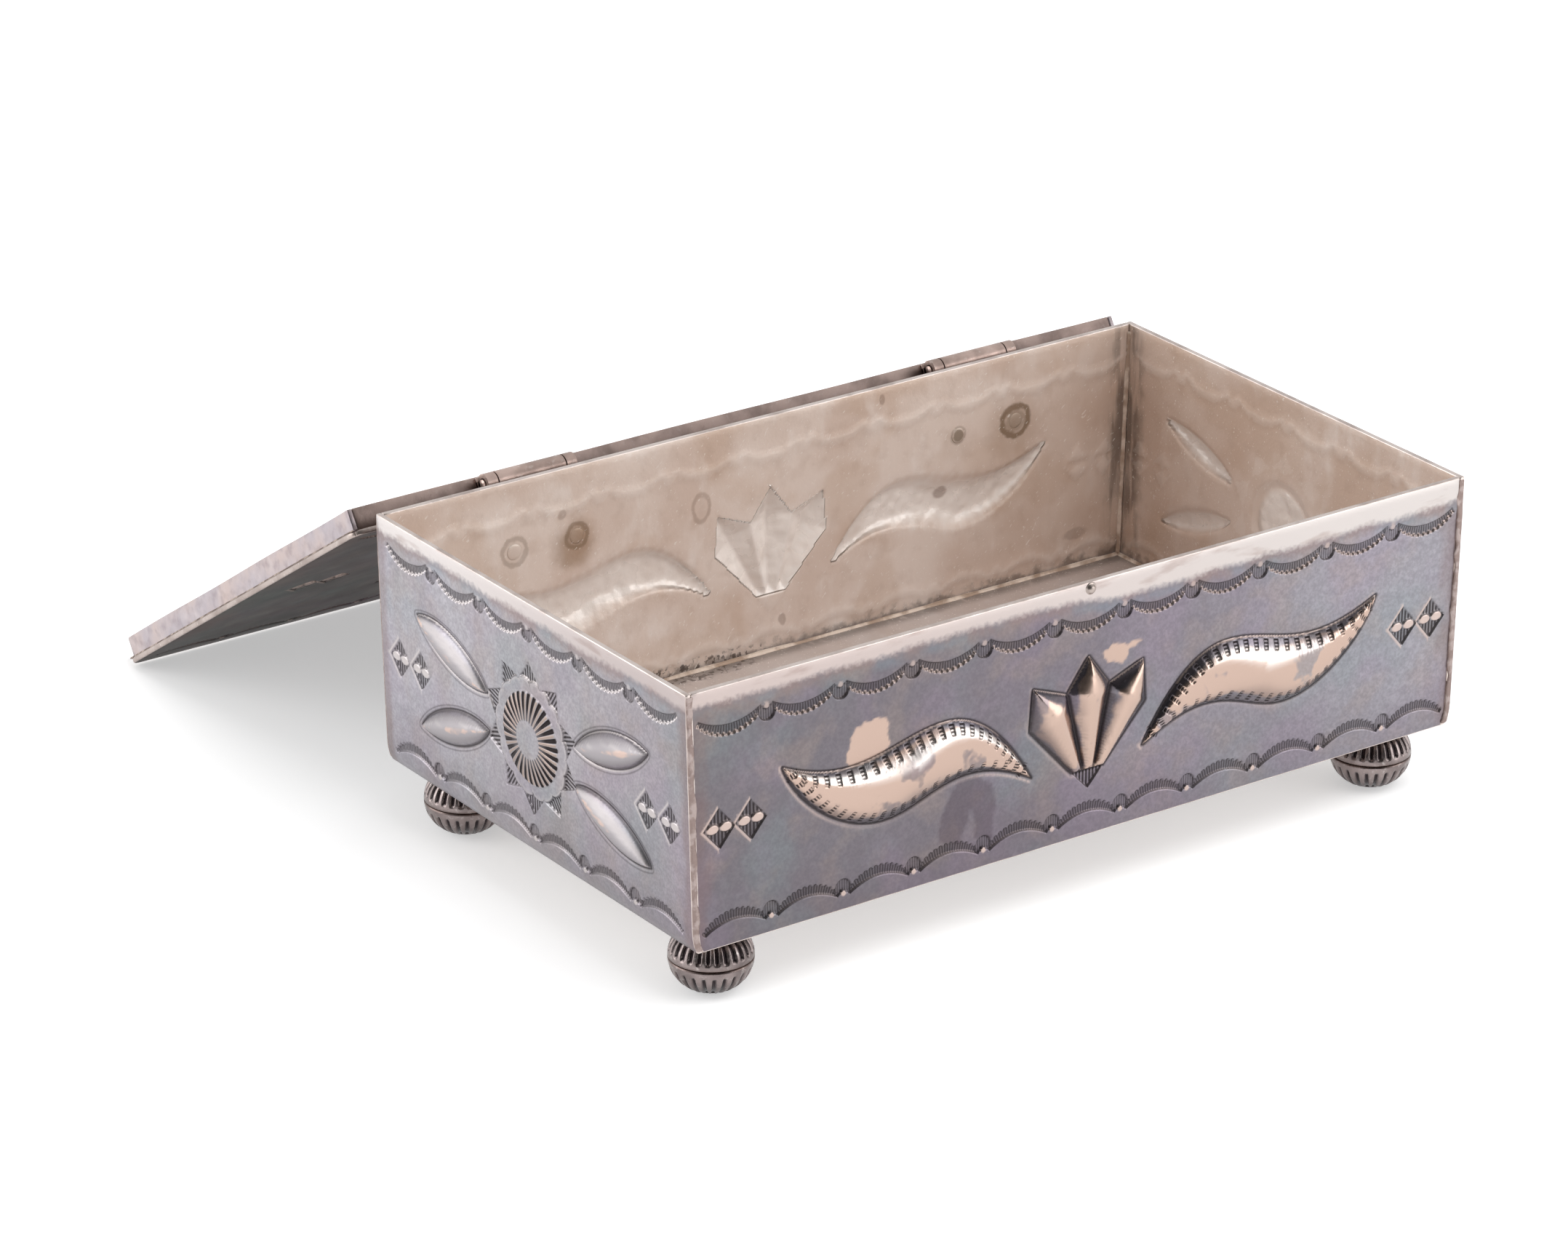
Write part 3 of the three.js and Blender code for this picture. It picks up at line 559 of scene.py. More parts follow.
def flat_plate(width, height, sheet, cell):
    """A sheet with rounded edges, u about 0, v from 0 and n from -sheet to 0, cut into cells."""
    bm = bmesh.new()
    bmesh.ops.create_cube(bm, size=1)
    bmesh.ops.scale(bm, vec=(width, height, sheet), verts=bm.verts)
    bmesh.ops.translate(bm, vec=(0, height / 2, -sheet / 2), verts=bm.verts)
    bmesh.ops.bevel(bm, geom=bm.edges[:], offset=EDGE_ROUND, offset_type="OFFSET", affect="EDGES",
                    segments=2, profile=0.5, material=-1)
    for axis, size in ((0, width), (1, height)):
        long = [e for e in bm.edges if abs(e.verts[0].co[axis] - e.verts[1].co[axis]) > size / 2]
        bmesh.ops.subdivide_edges(bm, edges=long, cuts=round(size / cell), use_grid_fill=True)
    return bm


def refine(bm, draw, sheet):
    """Cuts the cells smaller where the drawing has forms, edges and marks."""
    size = GROUND_CELL
    for cell in (FORM_CELL, EDGE_CELL, MARK_CELL):
        centres = np.array([face.calc_center_median() for face in bm.faces])
        relief = Relief(centres[:, 0], centres[:, 1], margin=0.55 * size)
        draw(relief)
        outside = centres[:, 2] > -sheet / 2
        wanted = np.where(outside, relief.cell, relief.behind_cell)
        for edge in bm.edges:
            edge.tag = False
        for face, want in zip(bm.faces, wanted):
            if want < cell * 1.01:
                for edge in face.edges:
                    edge.tag = True
        chosen = [edge for edge in bm.edges if edge.tag]
        bmesh.ops.subdivide_edges(bm, edges=chosen, cuts=1, use_grid_fill=True)
        size = cell


def smooth_mesh(name, bm):
    mesh = bpy.data.meshes.new(name)
    bm.to_mesh(mesh)
    bm.free()
    mesh.polygons.foreach_set("use_smooth", [True] * len(mesh.polygons))
    return mesh


def places(mesh):
    co = np.empty(len(mesh.vertices) * 3, np.float32)
    mesh.vertices.foreach_get("co", co)
    return co.reshape(-1, 3).astype(float)


def set_places(mesh, co):
    mesh.vertices.foreach_set("co", np.ascontiguousarray(co, np.float32).ravel())
    mesh.update()


def store(mesh, name, values):
    attribute = mesh.attributes.new(name, "FLOAT", "POINT")
    attribute.data.foreach_set("value", np.ascontiguousarray(values, np.float32))


def wave(u, v):
    """The slight unevenness of hand-planished sheet, in mm."""
    broad = np.sin(u / 8.3 + 1.1) * np.sin(v / 6.1 + 0.4) + np.sin(u / 13.7 - 0.6 + v / 19)
    return 0.05 * broad + 0.03 * np.sin(u / 3.9 + v / 5.3)


def struck_sheet(name, width, height, sheet, draw, place):
    """A sheet with its drawing raised and struck in it, stood up by place(u, v, n).

    Its material slots are the outside, the inside and the cut edges.
    """
    bm = flat_plate(width, height, sheet, GROUND_CELL)
    refine(bm, draw, sheet)
    mesh = smooth_mesh(name, bm)
    u, v, n = places(mesh).T
    relief = Relief(u, v)
    draw(relief)
    behind = Relief(u, v, inset=0.4 * sheet)
    draw(behind)
    hammered = np.sin(1.9 * u + 0.8 * np.sin(1.3 * v)) * np.sin(2.1 * v + 0.7 * np.sin(1.1 * u))
    planished = 0.15 * hammered * ease((behind.crown - 0.62) / 0.3)
    hollow = 0.96 * behind.raised - 0.45 * behind.struck + planished
    outside = n > -sheet / 2
    border = ease(np.minimum(np.minimum(v, height - v), width / 2 - np.abs(u)) / 4)
    lift = np.where(outside, relief.raised - relief.struck, hollow)
    set_places(mesh, place(u, v, n + lift + border * wave(u, v)) * MM)
    normals = np.empty(len(mesh.vertices) * 3, np.float32)
    mesh.vertex_normals.foreach_get("vector", normals)
    up = np.array(place(np.zeros(1), np.array([height]), np.zeros(1)))
    up = (up - place(np.zeros(1), np.zeros(1), np.zeros(1)))[0]
    facing_up = normals.reshape(-1, 3) @ (up / np.linalg.norm(up))
    # Painted highlight: slopes of struck marks that face up lose their oxide and hatching and take the lip
    # colour, faintly in the lower half.
    up_facing_highlight = ease(facing_up / 0.45) * ease(relief.struck / 0.12) * (relief.raised < 0.05) * (1 - relief.dull)
    up_facing_highlight *= np.where(v > height / 2, 0.9, 0.2)
    lip_and_highlight = np.maximum(up_facing_highlight, relief.lip_and_highlight * (relief.raised < 0.05) * (1 - ease(relief.oxide / 0.3)))
    store(mesh, "oxide", relief.oxide * (1 - 0.85 * up_facing_highlight))
    store(mesh, "hatch", relief.hatch * (1 - 0.85 * up_facing_highlight))
    store(mesh, "lines", relief.lines)
    store(mesh, "crown", np.where(outside, relief.crown, behind.crown))
    store(mesh, "shade", relief.shade)
    store(mesh, "lip_and_highlight", lip_and_highlight)
    store(mesh, "bare", relief.bare * (relief.raised < 0.05))
    store(mesh, "stain", relief.stain)
    store(mesh, "crest_highlight", relief.crest_highlight)
    edging = np.minimum(np.minimum(v, height - v), width / 2 - np.abs(u)) < EDGE_ROUND * 1.05
    for face in mesh.polygons:
        if all(edging[i] for i in face.vertices):
            face.material_index = 2
        else:
            face.material_index = int(not any(outside[i] for i in face.vertices))
    return mesh


def end_inset(v):
    """How far an end wall stands in from its rim, at a height above its foot."""
    low = np.clip(1 - v / FOOT_CURL_TALL, 0, 1)
    return END_LEAN * (1 - v / WALL_HEIGHT) + FOOT_CURL * (1 - np.sqrt(1 - low**2))


def long_wall_place(side):
    """Front wall for side 1, back wall for side -1."""
    face_y = FRONT_Y if side > 0 else BACK_Y

    def place(u, v, n):
        narrowed = u * (1 - end_inset(v) / HALF_LENGTH)
        return np.stack([side * narrowed, face_y - side * n, FOOT_Z + v], axis=-1)
    return place


def end_wall_place(side):
    """Right wall for side 1, left wall for side -1."""
    def place(u, v, n):
        x = side * (HALF_LENGTH - end_inset(v) + n)
        return np.stack([x, MIDDLE_Y + side * u, FOOT_Z + v], axis=-1)
    return place


lid_matrix = np.array(Matrix.Rotation(-OPEN_ANGLE, 3, "X"))


def lid_world(x, y, z):
    """Points of the closed lid, drawn about the hinge axis, where the open lid has them."""
    return np.stack([x, y, z], axis=-1) @ lid_matrix.T + np.array(HINGE)


def lid_place(u, v, n):
    """The lid's plate, its square corners pulled in to a radius."""
    height = LID_BACK - LID_FRONT
    past_u = np.maximum(np.abs(u) - (LID_HALF_LENGTH - LID_CORNER), 0)
    past_v = np.maximum(np.abs(v - height / 2) - (height / 2 - LID_CORNER), 0)
    pull = 1 - np.maximum(past_u, past_v) / np.maximum(np.hypot(past_u, past_v), 1e-9)
    u = u - np.sign(u) * past_u * pull * (past_v > 0)
    v = v - np.sign(v - height / 2) * past_v * pull * (past_u > 0)
    return lid_world(u, LID_FRONT + v, LID_UNDER + LID_SHEET + n)


# Finishes


def tone(red, green, blue):
    """A colour as the eye reads it, 0 to 255, as the shader's linear values."""
    linear = [((c / 255 + 0.055) / 1.055) ** 2.4 for c in (red, green, blue)]
    return (*linear, 1.0)


class Metal:
    """A metal's finish, built up in nodes over the place on the object."""

    def __init__(self, name):
        self.material = bpy.data.materials.new(name)
        self.material.use_nodes = True
        self.tree = self.material.node_tree
        self.shader = self.tree.nodes["Principled BSDF"]
        self.shader.inputs["Metallic"].default_value = 1.0
        self.place = self.tree.nodes.new("ShaderNodeTexCoord").outputs["Object"]
        spread = self.tree.nodes.new("ShaderNodeSeparateXYZ")
        self.tree.links.new(self.place, spread.inputs[0])
        self.x, self.y, self.z = spread.outputs

    def feed(self, socket, source):
        if isinstance(source, bpy.types.NodeSocket):
            self.tree.links.new(source, socket)
        else:
            socket.default_value = source

    def math(self, operation, *values):
        node = self.tree.nodes.new("ShaderNodeMath")
        node.operation = operation
        for socket, value in zip(node.inputs, values):
            self.feed(socket, value)
        return node.outputs[0]

    def mix(self, share, first, second):
        node = self.tree.nodes.new("ShaderNodeMix")
        node.data_type = "RGBA"
        for index, value in ((0, share), (6, first), (7, second)):
            self.feed(node.inputs[index], value)
        return node.outputs[2]

    def ramp(self, value, low, high):
        """0 below low and 1 above high, eased between them. Low may be the greater."""
        node = self.tree.nodes.new("ShaderNodeMapRange")
        node.interpolation_type = "SMOOTHSTEP"
        for index, source in ((0, value), (1, low), (2, high)):
            self.feed(node.inputs[index], source)
        return node.outputs[0]

    def turned(self, turn):
        """The place on the object about axes turned by three angles."""
        mapping = self.tree.nodes.new("ShaderNodeMapping")
        self.feed(mapping.inputs["Vector"], self.place)
        mapping.inputs["Rotation"].default_value = turn
        return mapping.outputs[0]

    def noise(self, size, detail=3.0, stretch=(1, 1, 1), shift=0.0, place=None):
        """Cloudy noise, with patches of about the given size in millimetres."""
        mapping = self.tree.nodes.new("ShaderNodeMapping")
        self.feed(mapping.inputs["Vector"], place or self.place)
        mapping.inputs["Location"].default_value = (shift, shift / 2, -shift)
        mapping.inputs["Scale"].default_value = stretch
        node = self.tree.nodes.new("ShaderNodeTexNoise")
        self.feed(node.inputs["Vector"], mapping.outputs[0])
        node.inputs["Scale"].default_value = 1 / (size * MM)
        node.inputs["Detail"].default_value = detail
        return node.outputs["Fac"]

    def attribute(self, name):
        node = self.tree.nodes.new("ShaderNodeAttribute")
        node.attribute_name = name
        return node.outputs["Fac"]

    def away(self, at, size, ragged, grain):
        """Distance from a place in millimetres, as a share of a patch's half sizes, with a ragged 1."""
        total = 0.0
        for axis, middle, half in zip((self.x, self.y, self.z), at, size):
            offset = self.math("DIVIDE", self.math("SUBTRACT", axis, middle * MM), half * MM)
            total = self.math("ADD", total, self.math("POWER", self.math("ABSOLUTE", offset), 2.0))
        grainy = self.math("MULTIPLY_ADD", self.noise(grain, 3), 2 * ragged, -ragged)
        return self.math("ADD", self.math("POWER", total, 0.5), grainy)

    def spot(self, at, size, ragged=0.35, soft=0.25, grain=3.0):
        """1 in a ragged patch about a place, 0 away from it."""
        return self.ramp(self.away(at, size, ragged, grain), 1 + soft / 2, 1 - soft / 2)

    def ring(self, at, size):
        """1 along a ragged ring about a place, 0 inside and outside it."""
        ragged, grain, width = 0.25, 2.0, 0.3
        across = self.math("ABSOLUTE", self.math("SUBTRACT", self.away(at, size, ragged, grain), 1.0))
        return self.ramp(across, width, width / 4)

    def most(self, *values):
        result = values[0]
        for value in values[1:]:
            result = self.math("MAXIMUM", result, value)
        return result

    def scratches(self):
        """Fine crossing scratches, mostly 0."""
        lines = []
        for turn, shift in (((0.3, 0.6, 0.5), 0.3), ((-0.7, 0.25, -0.9), 1.7)):
            streak = self.noise(0.4, 1, (0.035, 1, 1), shift, self.turned(turn))
            lines.append(self.ramp(streak, 0.7, 0.76))
        return self.most(*lines)

    def bump(self, height, depth):
        node = self.tree.nodes.new("ShaderNodeBump")
        node.inputs["Strength"].default_value = 1.0
        node.inputs["Distance"].default_value = depth * MM
        self.feed(node.inputs["Height"], height)
        self.feed(self.shader.inputs["Normal"], node.outputs[0])

    def finish(self, colour, roughness):
        self.feed(self.shader.inputs["Base Color"], colour)
        self.feed(self.shader.inputs["Roughness"], roughness)
        return self.material


OXIDE = tone(50, 44, 45)
PATINA_AND_SHADE = tone(80, 72, 76)
WORN = tone(192, 167, 154)
RIDGE = tone(168, 152, 144)
BRIGHT = tone(234, 227, 223)
CHAMPAGNE = tone(236, 222, 212)
CHAMPAGNE_DIM = tone(222, 203, 190)
DIRT = tone(70, 58, 52)
RUST = tone(150, 114, 78)


def wall_silver(name, tones, rims, along="x", worn_tone=WORN, crown_tone=None, wear=0.3, rim_fall=0.0,
                low_dark=0.3, lip_and_highlight_tone=tone(210, 188, 178), polish=0.14, teal_film=0.0):
    """A wall's outside: tarnished ground, worn crowns, dark marks, a bright band along the rim, and painted
    highlights and painted shade on its forms and marks.

    The tones are the ground's at one end, in the middle and at the other end, their change along the wall
    partly tarnish and partly painted reflection, and rims the band's at both ends.
    """
    metal = Metal(name)
    across = metal.x if along == "x" else metal.math("SUBTRACT", metal.y, MIDDLE_Y * MM)
    half = HALF_LENGTH if along == "x" else HALF_WIDTH
    share = metal.math("DIVIDE", across, half * MM)
    spread = metal.math("MULTIPLY_ADD", metal.noise(26, 4), 0.8, metal.math("SUBTRACT", share, 0.4))
    ground = metal.mix(metal.ramp(spread, -0.9, 0.1), tones[0], tones[1])
    ground = metal.mix(metal.ramp(spread, -0.1, 0.9), ground, tones[2])
    for tint, size, shift, share_of in (
        (tone(128, 146, 148), 17, 3.1, 0.28),
        (tone(156, 136, 158), 13, 7.7, 0.22),
        (tone(164, 146, 134), 8, 5.9, 0.25),
    ):
        film = metal.ramp(metal.noise(size, 4, shift=shift), 0.46, 0.66)
        ground = metal.mix(metal.math("MULTIPLY", film, share_of), ground, tint)
    low = metal.math("MULTIPLY_ADD", metal.noise(12, 3), 14 * MM, metal.math("SUBTRACT", metal.z, 7 * MM))
    dim = metal.math("MULTIPLY", metal.ramp(low, (FOOT_Z + 16) * MM, FOOT_Z * MM), low_dark)
    ground = metal.mix(dim, ground, tone(108, 98, 106))
    mottle = metal.noise(1.5, 5, shift=5.0)
    ground = metal.mix(metal.ramp(mottle, 0.38, 0.7), metal.mix(0.16, ground, tone(90, 86, 92)), ground)
    speckle = metal.ramp(metal.noise(0.5, 2, shift=9.0), 0.35, 0.65)
    ground = metal.mix(speckle, metal.mix(0.2, ground, tone(84, 80, 88)), ground)
    ground = metal.mix(metal.math("MULTIPLY", metal.attribute("stain"), 0.45), ground, tone(84, 72, 80))
    to_end = metal.math("ABSOLUTE", share)
    near_end = metal.math("MULTIPLY_ADD", metal.noise(3.5, 4, (1, 1, 0.4)), 0.07, to_end)
    browned = metal.math("MULTIPLY", metal.ramp(near_end, 0.965, 1.01), 0.4)
    ground = metal.mix(browned, ground, tone(122, 98, 94))
    ground = metal.mix(metal.attribute("bare"), ground, worn_tone)
    ragged = metal.math("MULTIPLY_ADD", metal.noise(9, 3, (1, 1, 0.5)), 2.0 * MM, -1.2 * MM)
    ragged = metal.math("MULTIPLY_ADD", metal.noise(0.9, 5), 1.8 * MM, ragged)
    fallen = metal.ramp(share, -0.12, 0.18)
    height = metal.math("ADD", metal.math("MULTIPLY_ADD", fallen, rim_fall * MM, metal.z), ragged)
    fringe = metal.ramp(height, (RIM_Z - 5.2) * MM, (RIM_Z - 2.2) * MM)
    bluish, brownish = tone(128, 148, 156), tone(150, 130, 120)
    film = metal.mix(metal.ramp(metal.noise(11, 3, shift=4.4), 0.42, 0.58), bluish, brownish)
    ground = metal.mix(metal.math("MULTIPLY", fringe, 0.38), ground, film)
    edging = metal.ramp(height, (RIM_Z - 3.6) * MM, (RIM_Z - 2.4) * MM)
    ground = metal.mix(metal.math("MULTIPLY", edging, 0.35), ground, tone(128, 108, 110))
    band = metal.ramp(height, (RIM_Z - 2.8) * MM, (RIM_Z - 1.2) * MM)
    rim = metal.mix(metal.ramp(share, -0.9, 0.9), *rims)
    streaky = metal.noise(2.4, 4, (0.25, 0.25, 1), shift=6.1)
    rim = metal.mix(metal.ramp(streaky, 0.56, 0.72), rim, metal.mix(0.4, rim, tone(150, 126, 118)))
    ground = metal.mix(band, ground, rim)
    if teal_film:
        film = metal.ramp(metal.noise(24, 3, shift=6.6), 0.4, 0.72)
        ground = metal.mix(metal.math("MULTIPLY", film, teal_film), ground, tone(78, 112, 107))
    crown = metal.attribute("crown")
    if crown_tone:
        ground = metal.mix(metal.ramp(crown, 0.1, 0.4), ground, crown_tone)
    rubbed = metal.math("ADD", metal.math("MULTIPLY_ADD", metal.noise(8, 3, shift=2.2), 1.6, -0.8), crown)
    worn = metal.math("MULTIPLY", metal.ramp(rubbed, wear - 0.1, wear + 0.1), metal.ramp(crown, 0.02, 0.12))
    island = metal.ramp(metal.noise(6, 3, shift=12.1), 0.56, 0.64)
    colour = metal.mix(worn, ground, metal.mix(metal.math("MULTIPLY", island, 0.7), worn_tone, ground))
    if crown_tone:
        colour = metal.mix(metal.ramp(crown, 1.05, 1.25), colour, RIDGE)
    # Painted highlight on the up-right crests.
    colour = metal.mix(metal.attribute("crest_highlight"), colour, BRIGHT)
    # Patina near the edges of raised forms, with painted shade on their flanks.
    colour = metal.mix(metal.attribute("shade"), colour, PATINA_AND_SHADE)
    # Worn lips and painted highlights, in the lip colour.
    colour = metal.mix(metal.math("MULTIPLY", metal.attribute("lip_and_highlight"), 0.85), colour, lip_and_highlight_tone)
    turn = metal.math("MULTIPLY", metal.attribute("lines"), 2 * math.pi)
    stripe = metal.ramp(metal.math("COSINE", turn), -0.35, 0.35)
    oxide = metal.attribute("oxide")
    struck = metal.math("MULTIPLY_ADD", stripe, metal.attribute("hatch"), oxide)
    struck = metal.math("MINIMUM", struck, 1.0)
    colour = metal.mix(struck, colour, OXIDE)
    rough = metal.math("MULTIPLY_ADD", metal.noise(5, 4), 0.16, 0.26)
    rough = metal.math("MULTIPLY_ADD", metal.ramp(crown, 0.1, 0.5), -polish, rough)
    rough = metal.math("MULTIPLY_ADD", struck, 0.22, rough)
    polished = metal.math("MULTIPLY_ADD", metal.ramp(crown, 0.0, 0.3), -0.1, 0.12)
    grain = metal.math("MULTIPLY_ADD", metal.noise(0.5, 3), polished, metal.math("MULTIPLY", struck, -0.6))
    metal.bump(metal.math("MULTIPLY_ADD", metal.scratches(), -0.1, grain), 0.08)
    return metal.finish(colour, rough)


def inside_silver(name, in_case=True):
    """The inside: stained champagne with pearly hollows painted paler as a sheen and, in the case, dirt low
    down and at one corner, with brown tarnish and painted shade in that corner.
    """
    metal = Metal(name)
    metal.shader.inputs["Metallic"].default_value = 0.3
    colour = metal.mix(metal.ramp(metal.noise(24, 4), 0.4, 0.62), CHAMPAGNE, CHAMPAGNE_DIM)
    pale = metal.ramp(metal.noise(5, 5, (1, 1, 0.5), shift=2.7), 0.52, 0.72)
    colour = metal.mix(metal.math("MULTIPLY", pale, 0.5), colour, tone(248, 240, 234))
    stained = metal.ramp(metal.noise(18, 3, shift=8.3), 0.5, 0.6)
    colour = metal.mix(metal.math("MULTIPLY", stained, 0.28), colour, tone(198, 168, 142))
    cloudy = metal.ramp(metal.noise(3.4, 5, shift=3.9), 0.5, 0.72)
    colour = metal.mix(metal.math("MULTIPLY", cloudy, 0.16), colour, tone(176, 148, 128))
    if in_case:
        # Brown tarnish with painted shade, broad about the back right corner.
        brown_and_corner_shade = metal.spot((HALF_LENGTH, BACK_Y, FOOT_Z + 20), (30, 40, 60), 0.3, 1.4, 14)
        colour = metal.mix(metal.math("MULTIPLY", brown_and_corner_shade, 0.4), colour, tone(190, 160, 138))
        streaks = metal.ramp(metal.noise(2.2, 4, (1, 1, 0.16), shift=1.1), 0.42, 0.62)
        corner = metal.spot((HALF_LENGTH - 1, BACK_Y - 1, FOOT_Z + 18), (4.5, 4.5, 36), 0.4, 0.8, 3)
        streaky = metal.math("MULTIPLY", streaks, 0.6)
        colour = metal.mix(metal.math("MULTIPLY", corner, streaky), colour, DIRT)
        floor = metal.ramp(metal.z, (FOOT_Z + 2.2) * MM, (FOOT_Z + 1.2) * MM)
        colour = metal.mix(metal.math("MULTIPLY", floor, 0.6), colour, tone(170, 161, 160))
        lowered = metal.math("SUBTRACT", metal.z, 3.5 * MM)
        low = metal.math("MULTIPLY_ADD", metal.noise(2.5, 5), 7 * MM, lowered)
        grime = metal.ramp(low, (FOOT_Z + 3.2) * MM, (FOOT_Z + 1.2) * MM)
        to_end = metal.math("SUBTRACT", HALF_LENGTH * MM, metal.math("ABSOLUTE", metal.x))
        off_middle = metal.math("ABSOLUTE", metal.math("SUBTRACT", metal.y, MIDDLE_Y * MM))
        to_wall = metal.math("MINIMUM", to_end, metal.math("SUBTRACT", HALF_WIDTH * MM, off_middle))
        grime = metal.math("MULTIPLY", grime, metal.ramp(to_wall, 5 * MM, 2 * MM))
        colour = metal.mix(metal.math("MULTIPLY", grime, 0.55), colour, DIRT)
        strewn = metal.spot((-16, BACK_Y - WALL_SHEET, FOOT_Z + 1.6), (14, 3.5, 1.9), 0.5, 0.6, 2)
        specks = metal.math("MULTIPLY", strewn, metal.ramp(metal.noise(0.9, 5, shift=3.3), 0.5, 0.6))
        colour = metal.mix(metal.math("MULTIPLY", specks, 0.8), colour, DIRT)
        for x, radius, ring, haze, middle in RIVET_MARKS:
            at = (x, BACK_Y - WALL_SHEET, RIVET_Z)
            below = (x - 0.6, BACK_Y - WALL_SHEET, RIVET_Z - 1.4)
            hazy = metal.spot(below, (1.9 * radius, 9, 1.9 * radius), 0.35, 0.9)
            colour = metal.mix(metal.math("MULTIPLY", hazy, haze), colour, RUST)
            edge = metal.ring(at, (radius, 9, radius))
            colour = metal.mix(metal.math("MULTIPLY", edge, ring), colour, tone(116, 92, 66))
            inner = metal.spot(at, (0.75 * radius, 9, 0.75 * radius), 0.3, 0.4, 1.5)
            colour = metal.mix(metal.math("MULTIPLY", inner, middle), colour, tone(112, 96, 74))
    ghost = metal.math("MULTIPLY", metal.ramp(metal.attribute("hatch"), 0.08, 0.34), 0.14)
    colour = metal.mix(ghost, colour, tone(252, 246, 240))
    # The hollows are painted paler: a painted sheen.
    hollow = metal.ramp(metal.attribute("crown"), 0.15, 0.6)
    colour = metal.mix(metal.math("MULTIPLY", hollow, 0.5), colour, tone(250, 246, 242))
    if in_case:
        for x, z, half_x, half_z, strength in INSIDE_SMUDGES:
            smudge = metal.spot((x, BACK_Y - WALL_SHEET, z), (half_x, 9, half_z), 0.3, 0.5, 1.5)
            colour = metal.mix(metal.math("MULTIPLY", smudge, strength), colour, tone(118, 86, 70))
        x, z, half_x, half_z = OVAL_STAIN
        tide_line = metal.ring((x, BACK_Y - WALL_SHEET, z), (half_x, 9, half_z))
        colour = metal.mix(metal.math("MULTIPLY", tide_line, 0.35), colour, tone(140, 108, 88))
    scratches = metal.scratches()
    colour = metal.mix(metal.math("MULTIPLY", scratches, 0.5), colour, tone(252, 246, 240))
    metal.feed(metal.shader.inputs["Metallic"], metal.math("MULTIPLY_ADD", hollow, -0.15, 0.3))
    rough = metal.math("MULTIPLY_ADD", metal.noise(8, 4), 0.2, 0.28)
    rough = metal.math("MULTIPLY_ADD", hollow, -0.1, rough)
    dimples = metal.math("MULTIPLY", metal.noise(3.4, 1, shift=1.4), metal.math("MULTIPLY", hollow, 16.0))
    scratched = metal.math("MULTIPLY_ADD", scratches, -0.25, metal.noise(0.6, 4))
    metal.bump(metal.math("ADD", scratched, dimples), 0.05)
    return metal.finish(colour, rough)


def plain_silver(name, colour, dark, roughness=0.32, seam=None, glint=0.4):
    """A small piece's finish: mottled, with darker tarnish in patches and in its struck marks."""
    metal = Metal(name)
    cloudy = metal.ramp(metal.noise(6, 5), 0.4, 0.7)
    tinted = metal.mix(cloudy, colour, metal.mix(0.5, colour, dark))
    tinted = metal.mix(metal.ramp(metal.noise(0.8, 4), 0.55, 0.8), tinted, metal.mix(glint, tinted, BRIGHT))
    # Oxide in marks; on the beads' lower halves it also holds painted shade.
    tinted = metal.mix(metal.attribute("oxide"), tinted, dark)
    if seam:
        tinted = metal.mix(metal.attribute("seam"), tinted, seam)
    rough = metal.math("MULTIPLY_ADD", metal.noise(3, 4), 0.2, roughness - 0.1)
    metal.bump(metal.math("MULTIPLY_ADD", metal.scratches(), -0.3, metal.noise(0.6, 4)), 0.03)
    return metal.finish(tinted, rough)


def skirt_silver():
    """The lid's skirts: lavender silver with pinkish zones and small dark mottles."""
    metal = Metal("skirt_silver")
    lavender, pinkish = tone(178, 169, 174), tone(194, 177, 172)
    colour = metal.mix(metal.ramp(metal.noise(9, 5, shift=1.9), 0.35, 0.68), lavender, pinkish)
    mottles = metal.ramp(metal.noise(2.2, 5, shift=4.2), 0.44, 0.74)
    colour = metal.mix(metal.math("MULTIPLY", mottles, 0.45), colour, tone(134, 120, 126))
    pale = metal.ramp(metal.noise(3.4, 5, shift=7.3), 0.48, 0.76)
    colour = metal.mix(metal.math("MULTIPLY", pale, 0.45), colour, tone(206, 196, 196))
    metal.bump(metal.math("MULTIPLY_ADD", metal.scratches(), -0.3, metal.noise(0.6, 4)), 0.04)
    return metal.finish(colour, metal.math("MULTIPLY_ADD", metal.noise(3, 4), 0.2, 0.26))


def solder(name, colour, dark, lump=1.6, metallic=1.0):
    """Lumpy solder with dirt in its hollows."""
    metal = Metal(name)
    metal.shader.inputs["Metallic"].default_value = metallic
    lumps = metal.noise(lump, 5)
    tinted = metal.mix(metal.ramp(lumps, 0.62, 0.42), colour, dark)
    metal.bump(lumps, 0.15 * lump)
    return metal.finish(tinted, metal.math("MULTIPLY_ADD", lumps, 0.3, 0.35))


# Pieces


def add_piece(name, mesh, material, body, slot, *nodes):
    piece = bpy.data.objects.new(name, mesh)
    bpy.context.scene.collection.objects.link(piece)
    mesh.materials.append(material)
    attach(piece, body)
    if nodes:
        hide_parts(*nodes)
    return piece


